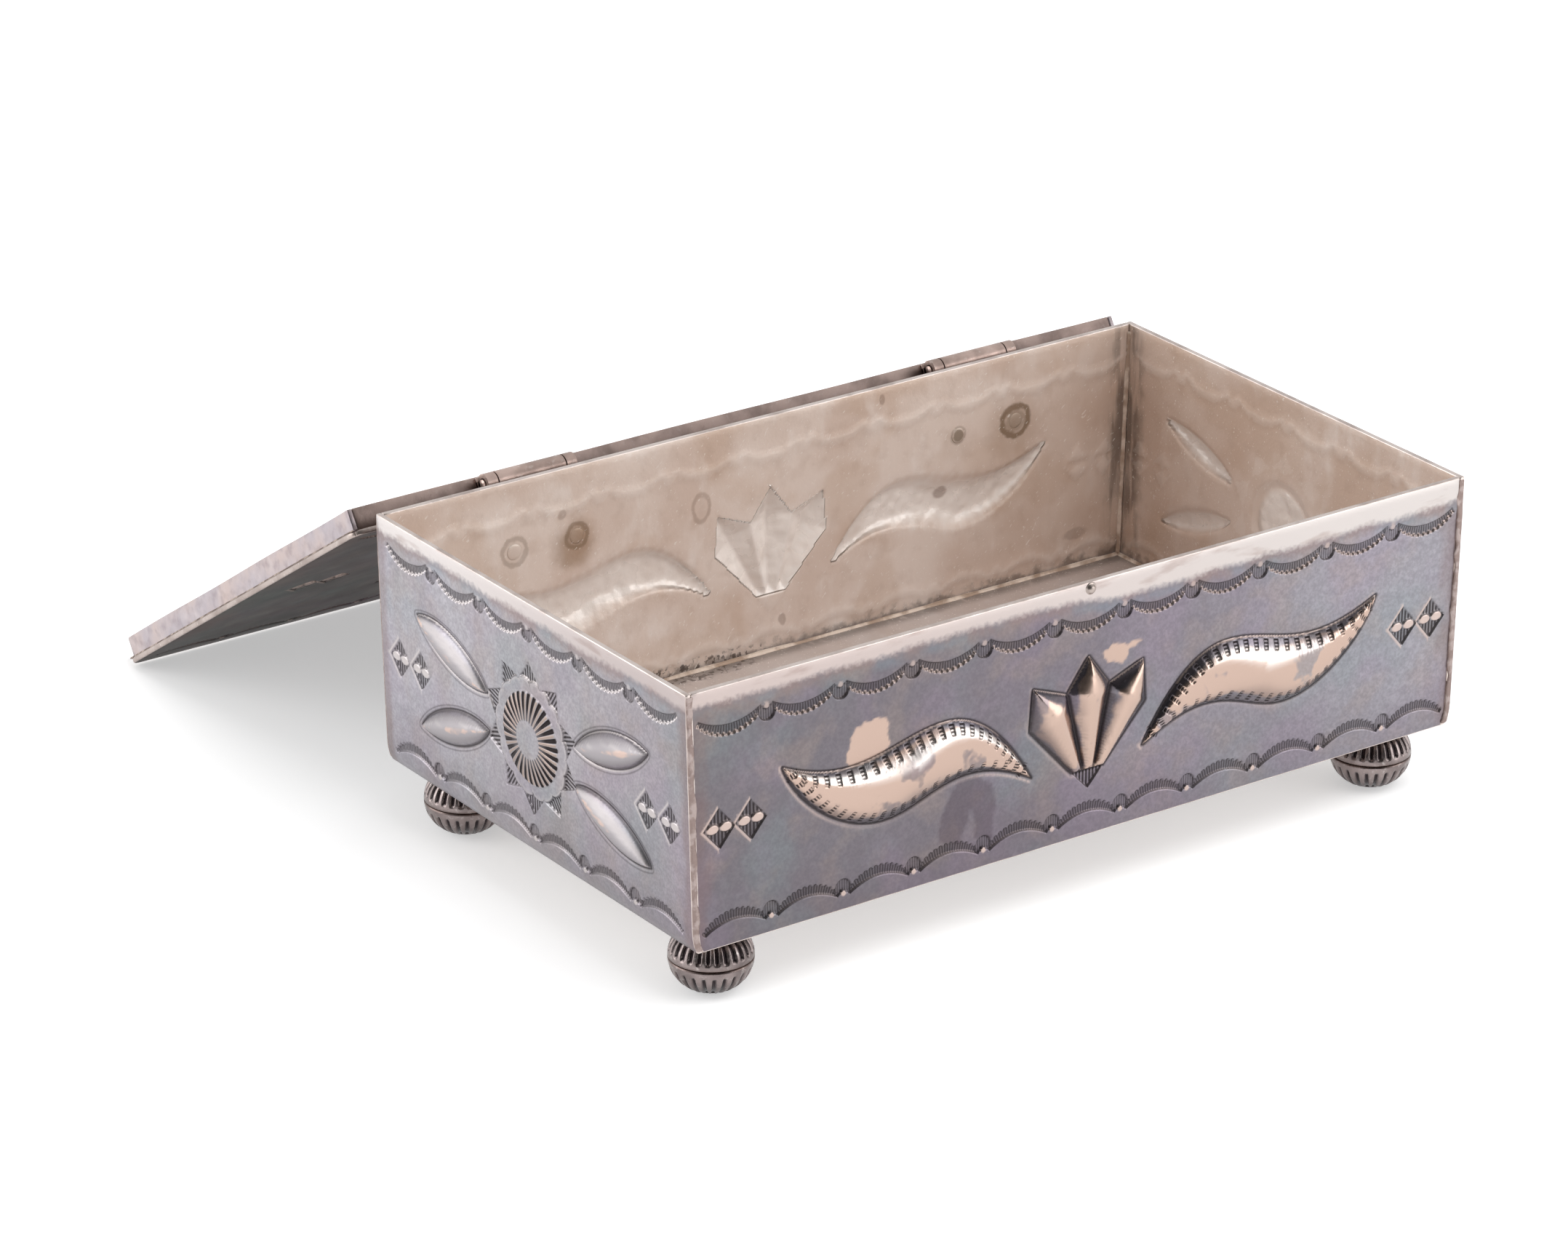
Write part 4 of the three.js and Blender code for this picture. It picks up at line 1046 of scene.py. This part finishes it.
def make_walls():
    long_size = 2 * (HALF_LENGTH - WALL_SHEET), WALL_HEIGHT, WALL_SHEET
    end_size = 2 * HALF_WIDTH, WALL_HEIGHT, WALL_SHEET

    # The ground tones change along each wall partly as tarnish and partly as painted reflection.
    front_silver = wall_silver(
        "front_wall_silver", (tone(118, 113, 118), tone(126, 119, 127), tone(160, 157, 164)),
        (tone(192, 178, 174), tone(204, 197, 194)), rim_fall=1.5)
    back_silver = wall_silver(
        "back_wall_silver", (tone(148, 143, 148), tone(134, 128, 135), tone(140, 136, 141)),
        (tone(200, 190, 186), tone(196, 184, 180)))
    petal_silver, petal_patch, end_lip_and_highlight = tone(172, 167, 170), tone(208, 186, 176), tone(204, 196, 194)
    left_silver = wall_silver(
        "left_end_silver", (tone(162, 156, 162), tone(176, 171, 176), tone(180, 177, 184)),
        (tone(186, 174, 172), tone(216, 209, 207)), "y", petal_patch, petal_silver, 1.0, low_dark=0.26,
        lip_and_highlight_tone=end_lip_and_highlight, polish=-0.2)
    right_silver = wall_silver(
        "right_end_silver", (tone(162, 157, 164), tone(170, 164, 170), tone(164, 160, 168)),
        (tone(200, 190, 186), tone(206, 196, 192)), "y", petal_patch, petal_silver, 1.0,
        lip_and_highlight_tone=end_lip_and_highlight, polish=-0.2)
    inside = inside_silver("inside_silver")
    cut_edge = plain_silver("cut_edge_silver", tone(226, 214, 208), tone(150, 130, 122), 0.36)
    for name, size, draw, place, material in (
        ("front_wall", long_size, draw_front_wall, long_wall_place(1), front_silver),
        ("back_wall", long_size, draw_long_wall, long_wall_place(-1), back_silver),
        ("left_end_wall", end_size, draw_end_wall, end_wall_place(-1), left_silver),
        ("right_end_wall", end_size, draw_end_wall, end_wall_place(1), right_silver),
    ):
        mesh = struck_sheet(f"struck_{name}", *size, draw, place)
        add_piece(f"struck_{name}", mesh, material, "case", "wall_silver", name)
        mesh.materials.append(inside)
        mesh.materials.append(cut_edge)
    make_base(inside)
    return inside


def make_base(inside):
    half_x = HALF_LENGTH - END_LEAN - WALL_SHEET
    half_y = HALF_WIDTH - WALL_SHEET
    bm = flat_plate(2 * half_x, 2 * half_y, BASE_SHEET, 4)
    mesh = smooth_mesh("base", bm)
    u, v, n = places(mesh).T
    lift = wave(u, v) * ease(np.minimum(half_x - np.abs(u), np.minimum(v, 2 * half_y - v)) / 6)
    set_places(mesh, np.stack([u, v + FRONT_Y + WALL_SHEET, n + lift + FOOT_Z + BASE_SHEET], axis=-1) * MM)
    add_piece("base", mesh, inside, "case", "base_silver", "base_plate")


def bead_dome(name, flutes, centre, upward):
    """Half a bead, equator at its centre, with chisel-cut flutes, a worn flat at its pole and, on a lower
    half, painted shade darkening towards the pole.
    """
    tall, rings = FOOT_Z / 2, 26
    end = math.acos(BEAD_FLAT / BEAD_RADIUS)
    rise = tall / math.sin(end)
    bm = bmesh.new()
    profile = [(0, 0), (BEAD_RADIUS - 0.25, 0)]
    for i in range(rings):
        angle = 0.03 + (end - 0.03) * i / (rings - 1)
        profile.append((BEAD_RADIUS * math.cos(angle), rise * math.sin(angle)))
    profile.append((0, tall))
    verts = [bm.verts.new((radius, 0, height)) for radius, height in profile]
    edges = [bm.edges.new(pair) for pair in zip(verts, verts[1:])]
    bmesh.ops.spin(bm, geom=verts + edges, axis=(0, 0, 1), cent=(0, 0, 0), angle=2 * math.pi,
                   steps=flutes * 10, use_merge=True)
    bmesh.ops.remove_doubles(bm, verts=bm.verts, dist=1e-4)
    bmesh.ops.recalc_face_normals(bm, faces=bm.faces)
    mesh = smooth_mesh(name, bm)
    x, y, z = places(mesh).T
    radius = np.hypot(x, y)
    turn = np.arctan2(y, x) * flutes / (2 * math.pi)
    from_cut = np.abs(turn - np.round(turn)) * 2 * math.pi * radius / flutes
    band = 1.15 if upward else 1.3
    cut = ease((0.42 - from_cut) / 0.2) * ease((z - band) / 0.3) * ease((radius - BEAD_FLAT - 0.6) / 0.5)
    inward = 1 - 0.4 * cut / np.maximum(np.hypot(radius, z), 1)
    seam = ease((0.3 - z) / 0.25)
    co = np.stack([x * inward, y * inward, z * inward], axis=-1)
    if not upward:
        co *= (1, -1, -1)
    set_places(mesh, (co + centre) * MM)
    # Painted shade on the lower half, stored with the flutes' oxide.
    painted_shade_under = 0.0 if upward else 0.55 * ease((z - 1.5) / 4)
    store(mesh, "oxide", np.maximum(cut, painted_shade_under))
    store(mesh, "seam", seam)
    return mesh


def make_feet():
    material = plain_silver("bead_silver", tone(148, 136, 134), tone(48, 41, 43), 0.26, tone(92, 72, 64))
    for front, y in (("front", MIDDLE_Y - BEAD_Y), ("back", MIDDLE_Y + BEAD_Y)):
        for side, x in (("left", -BEAD_X), ("right", BEAD_X)):
            for half, flutes in (("upper", UPPER_FLUTES), ("lower", LOWER_FLUTES)):
                name = f"{front}_{side}_bead_{half}"
                mesh = bead_dome(name, flutes, (x, y, FOOT_Z / 2), half == "upper")
                node = f"{front}_{side}_foot_{half}_dome"
                add_piece(name, mesh, material, "case", "bead_silver", node)


def verts_of(geom):
    """The vertices among the parts that an operator gives back."""
    return [part for part in geom if isinstance(part, bmesh.types.BMVert)]


def fillet(name, start, end, side_a, side_b, radius, place=None):
    """A hollow run of solder in a corner, between two faces that leave it along side_a and side_b."""
    start, end, side_a, side_b = [np.array(p, float) for p in (start, end, side_a, side_b)]
    bm = bmesh.new()
    section = [start]
    for i in range(6):
        angle = math.pi / 2 * i / 5
        section.append(start + radius * (side_a * (1 - math.sin(angle)) + side_b * (1 - math.cos(angle))))
    face = bm.faces.new([bm.verts.new(p) for p in section])
    moved = bmesh.ops.extrude_face_region(bm, geom=[face])["geom"]
    bmesh.ops.translate(bm, vec=Vector(end - start), verts=verts_of(moved))
    length = np.linalg.norm(end - start)
    long = [e for e in bm.edges if e.calc_length() > length / 2]
    bmesh.ops.subdivide_edges(bm, edges=long, cuts=round(length / 0.8), use_grid_fill=True)
    bmesh.ops.recalc_face_normals(bm, faces=bm.faces)
    mesh = smooth_mesh(name, bm)
    co = places(mesh)
    run = (co - start) @ ((end - start) / length)
    out = (co - start) - run[:, None] * (end - start) / length
    swell = 0.9 + 0.14 * np.sin(run / 3.3 + 1) * np.sin(run / 7.1) + 0.04 * np.sin(run / 0.9)
    co = co + out * (swell - 1)[:, None]
    set_places(mesh, (place(*co.T) if place else co) * MM)
    return mesh


def make_inside_solder():
    """Solder runs inside the case, along the base and up the corners."""
    material = solder("inside_solder", tone(226, 209, 194), tone(176, 152, 134), 4.0, 0.3)
    half_x = HALF_LENGTH - WALL_SHEET
    front, back = FRONT_Y + WALL_SHEET, BACK_Y - WALL_SHEET
    floor, top = FOOT_Z + BASE_SHEET, RIM_Z - 1.5
    foot_x = half_x - float(end_inset(BASE_SHEET))
    rim_x = half_x - float(end_inset(top - FOOT_Z))
    runs = {
        "front_base_solder": ((-foot_x, front, floor), (foot_x, front, floor), (0, 1, 0), (0, 0, 1)),
        "back_base_solder": ((-foot_x, back, floor), (foot_x, back, floor), (0, -1, 0), (0, 0, 1)),
        "left_base_solder": ((-foot_x, front, floor), (-foot_x, back, floor), (1, 0, 0), (0, 0, 1)),
        "right_base_solder": ((foot_x, front, floor), (foot_x, back, floor), (-1, 0, 0), (0, 0, 1)),
    }
    for end, y, way in (("front", front, 1), ("back", back, -1)):
        for side, name in ((-1, "left"), (1, "right")):
            runs[f"{end}_{name}_corner_solder"] = (
                (side * foot_x, y, floor), (side * rim_x, y, top), (-side, 0, 0), (0, way, 0))
    for name, run in runs.items():
        add_piece(name, fillet(name, *run, 0.6), material, "case", "wall_silver")


def make_corner_seams():
    """Rubbed-down solder over the four upright seams, on the long walls' faces."""
    material = solder("corner_solder", tone(178, 163, 159), tone(146, 129, 124))
    half, proud, sunk = 0.55, 0.3, 0.4
    fade_from, fade, thinned = 3.5, 2.5, 0.8  # rubbed thin where the closed skirt covers it
    for end, face_y, out in (("front", FRONT_Y, -1), ("back", BACK_Y, 1)):
        near, far = sorted((face_y + out * proud, face_y - out * sunk))
        for name, side in (("left", -1), ("right", 1)):
            bm = bmesh.new()
            rounded_block(bm, (-half, near, 0.4), (half, far, WALL_HEIGHT - 0.5), 0.3)
            tall = [e for e in bm.edges if abs(e.verts[0].co.z - e.verts[1].co.z) > WALL_HEIGHT / 2]
            bmesh.ops.subdivide_edges(bm, edges=tall, cuts=80, use_grid_fill=True)
            mesh = smooth_mesh(f"{end}_{name}_seam", bm)
            x, y, z = places(mesh).T
            wavy = 1 + 0.4 * np.sin(z / 2.1 + side) * np.sin(z / 5.3)
            wavy += 0.25 * np.sin(z / 0.8 + np.sin(z / 1.7))
            towards = np.where(x * side < 0, wavy, 1.0)
            seam_x = side * (HALF_LENGTH - half - 0.03 - end_inset(z)) + x * towards
            under_skirt = ease((z - WALL_HEIGHT + SKIRT_COVER + fade_from) / fade)
            seam_y = np.where((y - face_y) * out > 0, y - thinned * under_skirt * (y - face_y), y)
            set_places(mesh, np.stack([seam_x, seam_y, FOOT_Z + z], axis=-1) * MM)
            add_piece(f"{end}_{name}_seam", mesh, material, "case", "wall_silver")


def rounded_block(bm, low, high, round_off=0.2):
    """Adds a block with rounded edges to a bmesh."""
    made = bmesh.ops.create_cube(bm, size=1)["verts"]
    bmesh.ops.scale(bm, vec=np.subtract(high, low), verts=made)
    bmesh.ops.translate(bm, vec=(np.add(low, high)) / 2, verts=made)
    edges = sorted({edge for vert in made for edge in vert.link_edges}, key=lambda edge: edge.index)
    bmesh.ops.bevel(bm, geom=edges, offset=round_off, offset_type="OFFSET", affect="EDGES",
                    segments=3, profile=0.5, material=-1)


def tube(bm, radius, bore, from_x, to_x):
    """Adds a tube along x about the origin to a bmesh."""
    rings = [bmesh.ops.create_circle(bm, segments=40, radius=r)["verts"] for r in (radius, bore)]
    edges = [edge for ring in rings for edge in {e for vert in ring for e in vert.link_edges}]
    faces = bmesh.ops.bridge_loops(bm, edges=edges)["faces"]
    moved = bmesh.ops.extrude_face_region(bm, geom=faces)["geom"]
    top = verts_of(moved)
    bmesh.ops.translate(bm, vec=(0, 0, to_x - from_x), verts=top)
    whole = list(rings[0]) + list(rings[1]) + top
    bmesh.ops.translate(bm, vec=(0, 0, from_x), verts=whole)
    bmesh.ops.rotate(bm, cent=(0, 0, 0), matrix=Matrix.Rotation(math.pi / 2, 3, "Y"), verts=whole)


def make_hinges(inside):
    material = plain_silver("hinge_silver", tone(212, 188, 178), tone(112, 92, 84), 0.4)
    wall_side = BACK_Y - HINGE[1] + 0.05
    leaf_face = BACK_Y - HINGE[1] + LEAF_SEAM + LEAF_SHEET
    leaf_bottom = RIM_Z - LEAF_REACH - HINGE[2]
    leaf_top = leaf_bottom + LEAF_TALL
    bend_back, bend_front = -2.6, -3.2  # where the strap turns back to the wall, below the axis
    tucked, lapped = 0.1, 1.8  # how deep in the leaf the strap lies, and how far down
    reach = KNUCKLE_HALF + KNUCKLE_GAP + LID_KNUCKLE
    for name, side in (("left", -1), ("right", 1)):
        middle = np.array([side * HINGE_X, HINGE[1], HINGE[2]])
        bm = bmesh.new()
        tube(bm, KNUCKLE_RADIUS, KNUCKLE_BORE, -KNUCKLE_HALF, KNUCKLE_HALF)
        strap = [
            (-KNUCKLE_RADIUS, 0), (-KNUCKLE_RADIUS, bend_back),
            (wall_side + tucked, leaf_top), (wall_side + tucked, leaf_top - lapped),
            (leaf_face - tucked, leaf_top - lapped), (leaf_face - tucked, leaf_top - 0.7),
            (-KNUCKLE_RADIUS + LEAF_SHEET, bend_front), (-KNUCKLE_RADIUS + LEAF_SHEET, 0),
        ]
        face = bm.faces.new([bm.verts.new((-KNUCKLE_HALF, y, z)) for y, z in strap])
        moved = bmesh.ops.extrude_face_region(bm, geom=[face])["geom"]
        bmesh.ops.translate(bm, vec=(2 * KNUCKLE_HALF, 0, 0), verts=verts_of(moved))
        rounded_block(bm, (-LEAF_WIDTH / 2, wall_side, leaf_bottom),
                      (LEAF_WIDTH / 2, leaf_face, leaf_top - 0.8), 0.25)
        bmesh.ops.recalc_face_normals(bm, faces=bm.faces)
        mesh = smooth_mesh(f"{name}_body_leaf", bm)
        mesh.set_sharp_from_angle(angle=math.radians(40))
        set_places(mesh, (places(mesh) + middle) * MM)
        add_piece(f"{name}_body_leaf", mesh, material, "case", "hinge_silver", f"{name}_hinge_body_leaf")

        bm = bmesh.new()
        profile = [(0, -reach - PIN_END), (0.5, -reach - PIN_END), (PIN_RADIUS, -reach - PIN_END / 2),
                   (PIN_RADIUS, reach + PIN_END / 2), (0.5, reach + PIN_END), (0, reach + PIN_END)]
        verts = [bm.verts.new((x, radius, 0)) for radius, x in profile]
        edges = [bm.edges.new(pair) for pair in zip(verts, verts[1:])]
        bmesh.ops.spin(bm, geom=verts + edges, axis=(1, 0, 0), cent=(0, 0, 0), angle=2 * math.pi,
                       steps=32, use_merge=True)
        bmesh.ops.remove_doubles(bm, verts=bm.verts, dist=1e-4)
        bmesh.ops.recalc_face_normals(bm, faces=bm.faces)
        mesh = smooth_mesh(f"{name}_pin", bm)
        mesh.set_sharp_from_angle(angle=math.radians(40))
        set_places(mesh, (places(mesh) + middle) * MM)
        add_piece(f"{name}_pin", mesh, material, "case", "hinge_silver", f"{name}_hinge_pin")

        bm = bmesh.new()
        front = SKIRT_BACK + SKIRT_SHEET
        rounded_block(bm, (-reach, front, SKIRT_LOW + 0.25), (reach, front + 0.65, LID_UNDER - 0.25), 0.15)
        for end in (-1, 1):
            low, high = sorted((end * reach, end * (reach - LID_KNUCKLE)))
            tube(bm, KNUCKLE_RADIUS, KNUCKLE_BORE, low, high)
            rounded_block(bm, (low, front, -KNUCKLE_BORE), (high, -KNUCKLE_BORE, KNUCKLE_BORE), 0.15)
        bmesh.ops.recalc_face_normals(bm, faces=bm.faces)
        mesh = smooth_mesh(f"{name}_lid_leaf", bm)
        mesh.set_sharp_from_angle(angle=math.radians(40))
        co = places(mesh)
        set_places(mesh, lid_world(co[:, 0] + side * HINGE_X, co[:, 1], co[:, 2]) * MM)
        add_piece(f"{name}_lid_leaf", mesh, material, "lid", "hinge_silver", f"{name}_hinge_lid_leaf")

        for end, sign in (("outer", side), ("inner", -side)):
            add_rivet(f"{name}_{end}_rivet", side * HINGE_X + sign * RIVET_SPACING / 2, (material, inside),
                      f"{name}_hinge_{end}_rivet")


def lathe_y(name, profile, steps=32):
    """A turned piece about y, from (radius, y) points that start and end on the axis."""
    bm = bmesh.new()
    verts = [bm.verts.new((radius, y, 0)) for radius, y in profile]
    edges = [bm.edges.new(pair) for pair in zip(verts, verts[1:])]
    bmesh.ops.spin(bm, geom=verts + edges, axis=(0, 1, 0), cent=(0, 0, 0), angle=2 * math.pi,
                   steps=steps, use_merge=True)
    bmesh.ops.remove_doubles(bm, verts=bm.verts, dist=1e-4)
    bmesh.ops.recalc_face_normals(bm, faces=bm.faces)
    return smooth_mesh(name, bm)


def add_rivet(name, x, materials, node):
    """A rivet through leaf and wall, with a domed head outside and its end hammered nearly flush inside."""
    inside, outside = -WALL_SHEET - 0.02, LEAF_SEAM + LEAF_SHEET - 0.02
    profile = [(0, inside - 0.16), (0.8, inside - 0.15), (1.3, inside - 0.1), (1.5, inside),
               (0.8, inside), (0.8, outside), (1.5, outside), (1.4, outside + 0.25),
               (1.05, outside + 0.42), (0.5, outside + 0.5), (0, outside + 0.52)]
    mesh = lathe_y(name, profile)
    y = places(mesh)[:, 1]
    for face in mesh.polygons:
        face.material_index = int(all(y[i] < inside + 0.01 for i in face.vertices))
    set_places(mesh, (places(mesh) + (x, BACK_Y, RIVET_Z)) * MM)
    add_piece(name, mesh, materials[0], "case", "hinge_silver", node)
    mesh.materials.append(materials[1])


def make_catch_pip():
    profile = [(0, 0.2), (1.2, 0.2), (1.2, 0.0), (1.0, -0.06), (0.82, -0.14), (0.72, -0.35),
               (0.5, -0.52), (0.25, -0.58), (0, -0.6)]
    mesh = lathe_y("catch_bead", profile)
    low, high = corners("catch_pip")
    set_places(mesh, (places(mesh) + (0, FRONT_Y, (low[2] + high[2]) / 2)) * MM)
    material = plain_silver("catch_silver", tone(206, 192, 184), tone(70, 60, 56), 0.3)
    add_piece("catch_bead", mesh, material, "case", "hinge_silver", "catch_pip")


def finer_at_catch(bm):
    """Divides the middle of the front skirt more finely, for the catch's dimple."""
    for axis, cuts in ((0, 3), (2, 12)):
        near = [e for e in bm.edges if abs(e.verts[0].co.x + e.verts[1].co.x) < 2 * CATCH_PATCH
                and min(v.co.y for v in e.verts) > SKIRT_FRONT - 0.01
                and abs(e.verts[0].co[axis] - e.verts[1].co[axis]) > 0.5]
        bmesh.ops.subdivide_edges(bm, edges=near, cuts=cuts, use_grid_fill=True)


def make_lid():
    lid_size = 2 * LID_HALF_LENGTH, LID_BACK - LID_FRONT, LID_SHEET
    # The outer face's dark tones are partly heavy tarnish and partly painted shade, for a face that looks
    # down into the shadow under the open lid; its dark specular tint and low specular level hold back its
    # reflection.
    silver = wall_silver("lid_plate_silver", (tone(98, 87, 85), tone(105, 95, 93), tone(102, 95, 93)),
                         (tone(92, 84, 84), tone(92, 84, 84)), wear=0.35, low_dark=0.0, teal_film=0.42)
    shader = silver.node_tree.nodes["Principled BSDF"]
    shader.inputs["Specular Tint"].default_value = tone(112, 101, 97)
    shader.inputs["Specular IOR Level"].default_value = 0.2
    shader.inputs["Metallic"].default_value = 0.55
    mesh = struck_sheet("struck_lid_plate", *lid_size, draw_lid, lid_place)
    add_piece("struck_lid_plate", mesh, silver, "lid", "lid_silver", "lid_plate")
    mesh.materials.append(inside_silver("lid_inside_silver", False))
    mesh.materials.append(plain_silver("plate_edge_silver", tone(184, 171, 165), tone(124, 108, 102), 0.4))
    side_silver = skirt_silver()
    back_skirt_silver = plain_silver(
        "back_skirt_silver", tone(190, 168, 160), tone(88, 76, 72), 0.4, glint=0.15)
    outer_front, outer_back = SKIRT_FRONT - SKIRT_SHEET, SKIRT_BACK + SKIRT_SHEET
    outer_x = SKIRT_X + SKIRT_SHEET
    strips = {
        "lid_front_skirt": ((-SKIRT_X, outer_front, SKIRT_LOW), (SKIRT_X, SKIRT_FRONT, LID_UNDER)),
        "lid_back_skirt": ((-SKIRT_X, SKIRT_BACK, SKIRT_LOW), (SKIRT_X, outer_back, LID_UNDER)),
        "lid_left_skirt": ((-outer_x, outer_front, SKIRT_LOW), (-SKIRT_X, outer_back, LID_UNDER)),
        "lid_right_skirt": ((SKIRT_X, outer_front, SKIRT_LOW), (outer_x, outer_back, LID_UNDER)),
    }
    for node, (low, high) in strips.items():
        bm = bmesh.new()
        rounded_block(bm, low, high, 0.2)
        for axis in (0, 1):
            size = high[axis] - low[axis]
            long = [e for e in bm.edges if abs(e.verts[0].co[axis] - e.verts[1].co[axis]) > max(size / 2, 5)]
            bmesh.ops.subdivide_edges(bm, edges=long, cuts=round(size / 0.8), use_grid_fill=True)
        if node == "lid_front_skirt":
            finer_at_catch(bm)
        mesh = smooth_mesh(f"{node}_strip", bm)
        x, y, z = places(mesh).T
        inner_face = (y > SKIRT_FRONT - 0.1) & (node == "lid_front_skirt")
        y = y - CATCH_DIMPLE * ease((CATCH_RADIUS - np.hypot(x, z - CATCH_Z)) / CATCH_SLOPE) * inner_face
        past_x = np.maximum(np.abs(x) - (outer_x - SKIRT_CORNER), 0)
        past_y = np.maximum(outer_front + SKIRT_CORNER - y, 0)
        pull = 1 - np.maximum(past_x, past_y) / np.maximum(np.hypot(past_x, past_y), 1e-9)
        pull *= ease((np.maximum(past_x, past_y) - SKIRT_CORNER + SKIRT_SHEET) / SKIRT_SHEET)
        x, y = x - np.sign(x) * past_x * pull, y + past_y * pull
        droop = 0.05 * (1 + np.sin(x / 9 + y / 7)) * ease(-z / 1.5)
        set_places(mesh, lid_world(x, y, z + droop) * MM)
        # Read only by the back skirt's finish: dark, with a painted highlight along its free edge.
        store(mesh, "oxide", 0.9 * ease((z + 0.9) / 1.6))
        worn = back_skirt_silver if node == "lid_back_skirt" else side_silver
        add_piece(f"{node}_strip", mesh, worn, "lid", "lid_silver", node)
    lid_solder = solder("lid_solder", tone(196, 180, 168), tone(120, 104, 96))
    runs = {
        "lid_front_solder": ((-outer_x, outer_front), (outer_x, outer_front), (0, -1, 0)),
        "lid_left_solder": ((-outer_x, outer_front), (-outer_x, outer_back), (-1, 0, 0)),
        "lid_right_solder": ((outer_x, outer_front), (outer_x, outer_back), (1, 0, 0)),
    }
    for name, (start, end, out) in runs.items():
        mesh = fillet(name, (*start, LID_UNDER), (*end, LID_UNDER), out, (0, 0, -1), 0.28, lid_world)
        add_piece(name, mesh, lid_solder, "lid", "lid_silver")


# Stage


def make_stage():
    bm = bmesh.new()
    bmesh.ops.create_grid(bm, x_segments=1, y_segments=1, size=4.0)
    mesh = bpy.data.meshes.new("floor")
    bm.to_mesh(mesh)
    bm.free()
    floor = bpy.data.objects.new("floor", mesh)
    bpy.context.scene.collection.objects.link(floor)
    material = bpy.data.materials.new("pale_floor")
    material.use_nodes = True
    tree = material.node_tree
    tree.nodes.clear()
    paper = tree.nodes.new("ShaderNodeBsdfDiffuse")
    paper.inputs["Color"].default_value = (0.8, 0.8, 0.8, 1)
    glow = tree.nodes.new("ShaderNodeEmission")
    total = tree.nodes.new("ShaderNodeAddShader")
    tree.links.new(seen_directly(tree, 0.45), glow.inputs["Strength"])
    tree.links.new(paper.outputs[0], total.inputs[0])
    tree.links.new(glow.outputs[0], total.inputs[1])
    output = tree.nodes.new("ShaderNodeOutputMaterial")
    tree.links.new(total.outputs[0], output.inputs["Surface"])
    mesh.materials.append(material)


def seen_directly(tree, level):
    """The level for camera, glossy and transmission rays, and 0 for the light that falls on things."""
    path = tree.nodes.new("ShaderNodeLightPath")
    total = None
    for ray in ("Is Camera Ray", "Is Glossy Ray", "Is Transmission Ray"):
        if total is None:
            total = path.outputs[ray]
            continue
        either = tree.nodes.new("ShaderNodeMath")
        either.operation = "MAXIMUM"
        tree.links.new(total, either.inputs[0])
        tree.links.new(path.outputs[ray], either.inputs[1])
        total = either.outputs[0]
    scaled = tree.nodes.new("ShaderNodeMath")
    scaled.operation = "MULTIPLY"
    tree.links.new(total, scaled.inputs[0])
    scaled.inputs[1].default_value = level
    return scaled.outputs[0]


def make_light():
    scene = bpy.context.scene
    world = bpy.data.worlds.new("studio")
    scene.world = world
    world.use_nodes = True
    tree = world.node_tree
    tree.nodes.clear()
    path = tree.nodes.new("ShaderNodeLightPath")
    place = tree.nodes.new("ShaderNodeTexCoord")
    # The side that the camera stands on is a dim room, and the sweep behind and at the sides is white.
    facing = tree.nodes.new("ShaderNodeVectorMath")
    facing.operation = "DOT_PRODUCT"
    tree.links.new(place.outputs["Generated"], facing.inputs[0])
    facing.inputs[1].default_value = (-0.43, -0.82, 0.37)
    front = tree.nodes.new("ShaderNodeMapRange")
    front.interpolation_type = "SMOOTHSTEP"
    tree.links.new(facing.outputs["Value"], front.inputs[0])
    for index, value in ((1, 0.4), (2, 0.85), (3, 1.0), (4, 0.12)):
        front.inputs[index].default_value = value
    even = tree.nodes.new("ShaderNodeMath")
    even.operation = "MAXIMUM"
    tree.links.new(path.outputs["Is Camera Ray"], even.inputs[0])
    tree.links.new(path.outputs["Is Diffuse Ray"], even.inputs[1])
    whiteness = tree.nodes.new("ShaderNodeMath")
    whiteness.operation = "MAXIMUM"
    tree.links.new(front.outputs[0], whiteness.inputs[0])
    tree.links.new(even.outputs[0], whiteness.inputs[1])
    background = tree.nodes.new("ShaderNodeBackground")
    level = tree.nodes.new("ShaderNodeMapRange")
    tree.links.new(path.outputs["Is Diffuse Ray"], level.inputs[0])
    level.inputs[3].default_value = 1.0
    level.inputs[4].default_value = 0.66
    strength = tree.nodes.new("ShaderNodeMath")
    strength.operation = "MULTIPLY"
    tree.links.new(whiteness.outputs[0], strength.inputs[0])
    tree.links.new(level.outputs[0], strength.inputs[1])
    tree.links.new(strength.outputs[0], background.inputs["Strength"])
    output = tree.nodes.new("ShaderNodeOutputWorld")
    tree.links.new(background.outputs[0], output.inputs["Surface"])

    for name, at, size, power, mirrored in (
        ("overhead_softbox", (0.15, -0.45, 1.0), 0.8, 7.0, False),
        ("side_softbox", (0.85, -1.02, 0.27), 0.95, 5.6, True),
        ("left_softbox", (-1.0, 0.6, 0.42), 0.9, 5.2, True),
    ):
        lamp = bpy.data.lights.new(name, "AREA")
        lamp.energy = power
        lamp.size = size
        holder = bpy.data.objects.new(name, lamp)
        scene.collection.objects.link(holder)
        holder.location = at
        holder.visible_glossy = mirrored
        holder.rotation_mode = "QUATERNION"
        holder.rotation_quaternion = (Vector((0, -0.04, 0.03)) - Vector(at)).to_track_quat("-Z", "Y")


def make_camera():
    camera = bpy.data.cameras.new("camera")
    camera.lens = 145.7
    camera.sensor_width = 36.0
    holder = bpy.data.objects.new("camera", camera)
    bpy.context.scene.collection.objects.link(holder)
    holder.location = (-0.5892, -0.8393, 0.4592)
    holder.rotation_mode = "QUATERNION"
    holder.rotation_quaternion = Vector((0.5284, 0.7516, -0.3949)).to_track_quat("-Z", "Y")
    bpy.context.scene.camera = holder


make_camera()
make_light()
make_stage()
inside_finish = make_walls()
make_feet()
make_inside_solder()
make_corner_seams()
make_hinges(inside_finish)
make_catch_pip()
make_lid()

bpy.context.scene.view_settings.view_transform = "Standard"
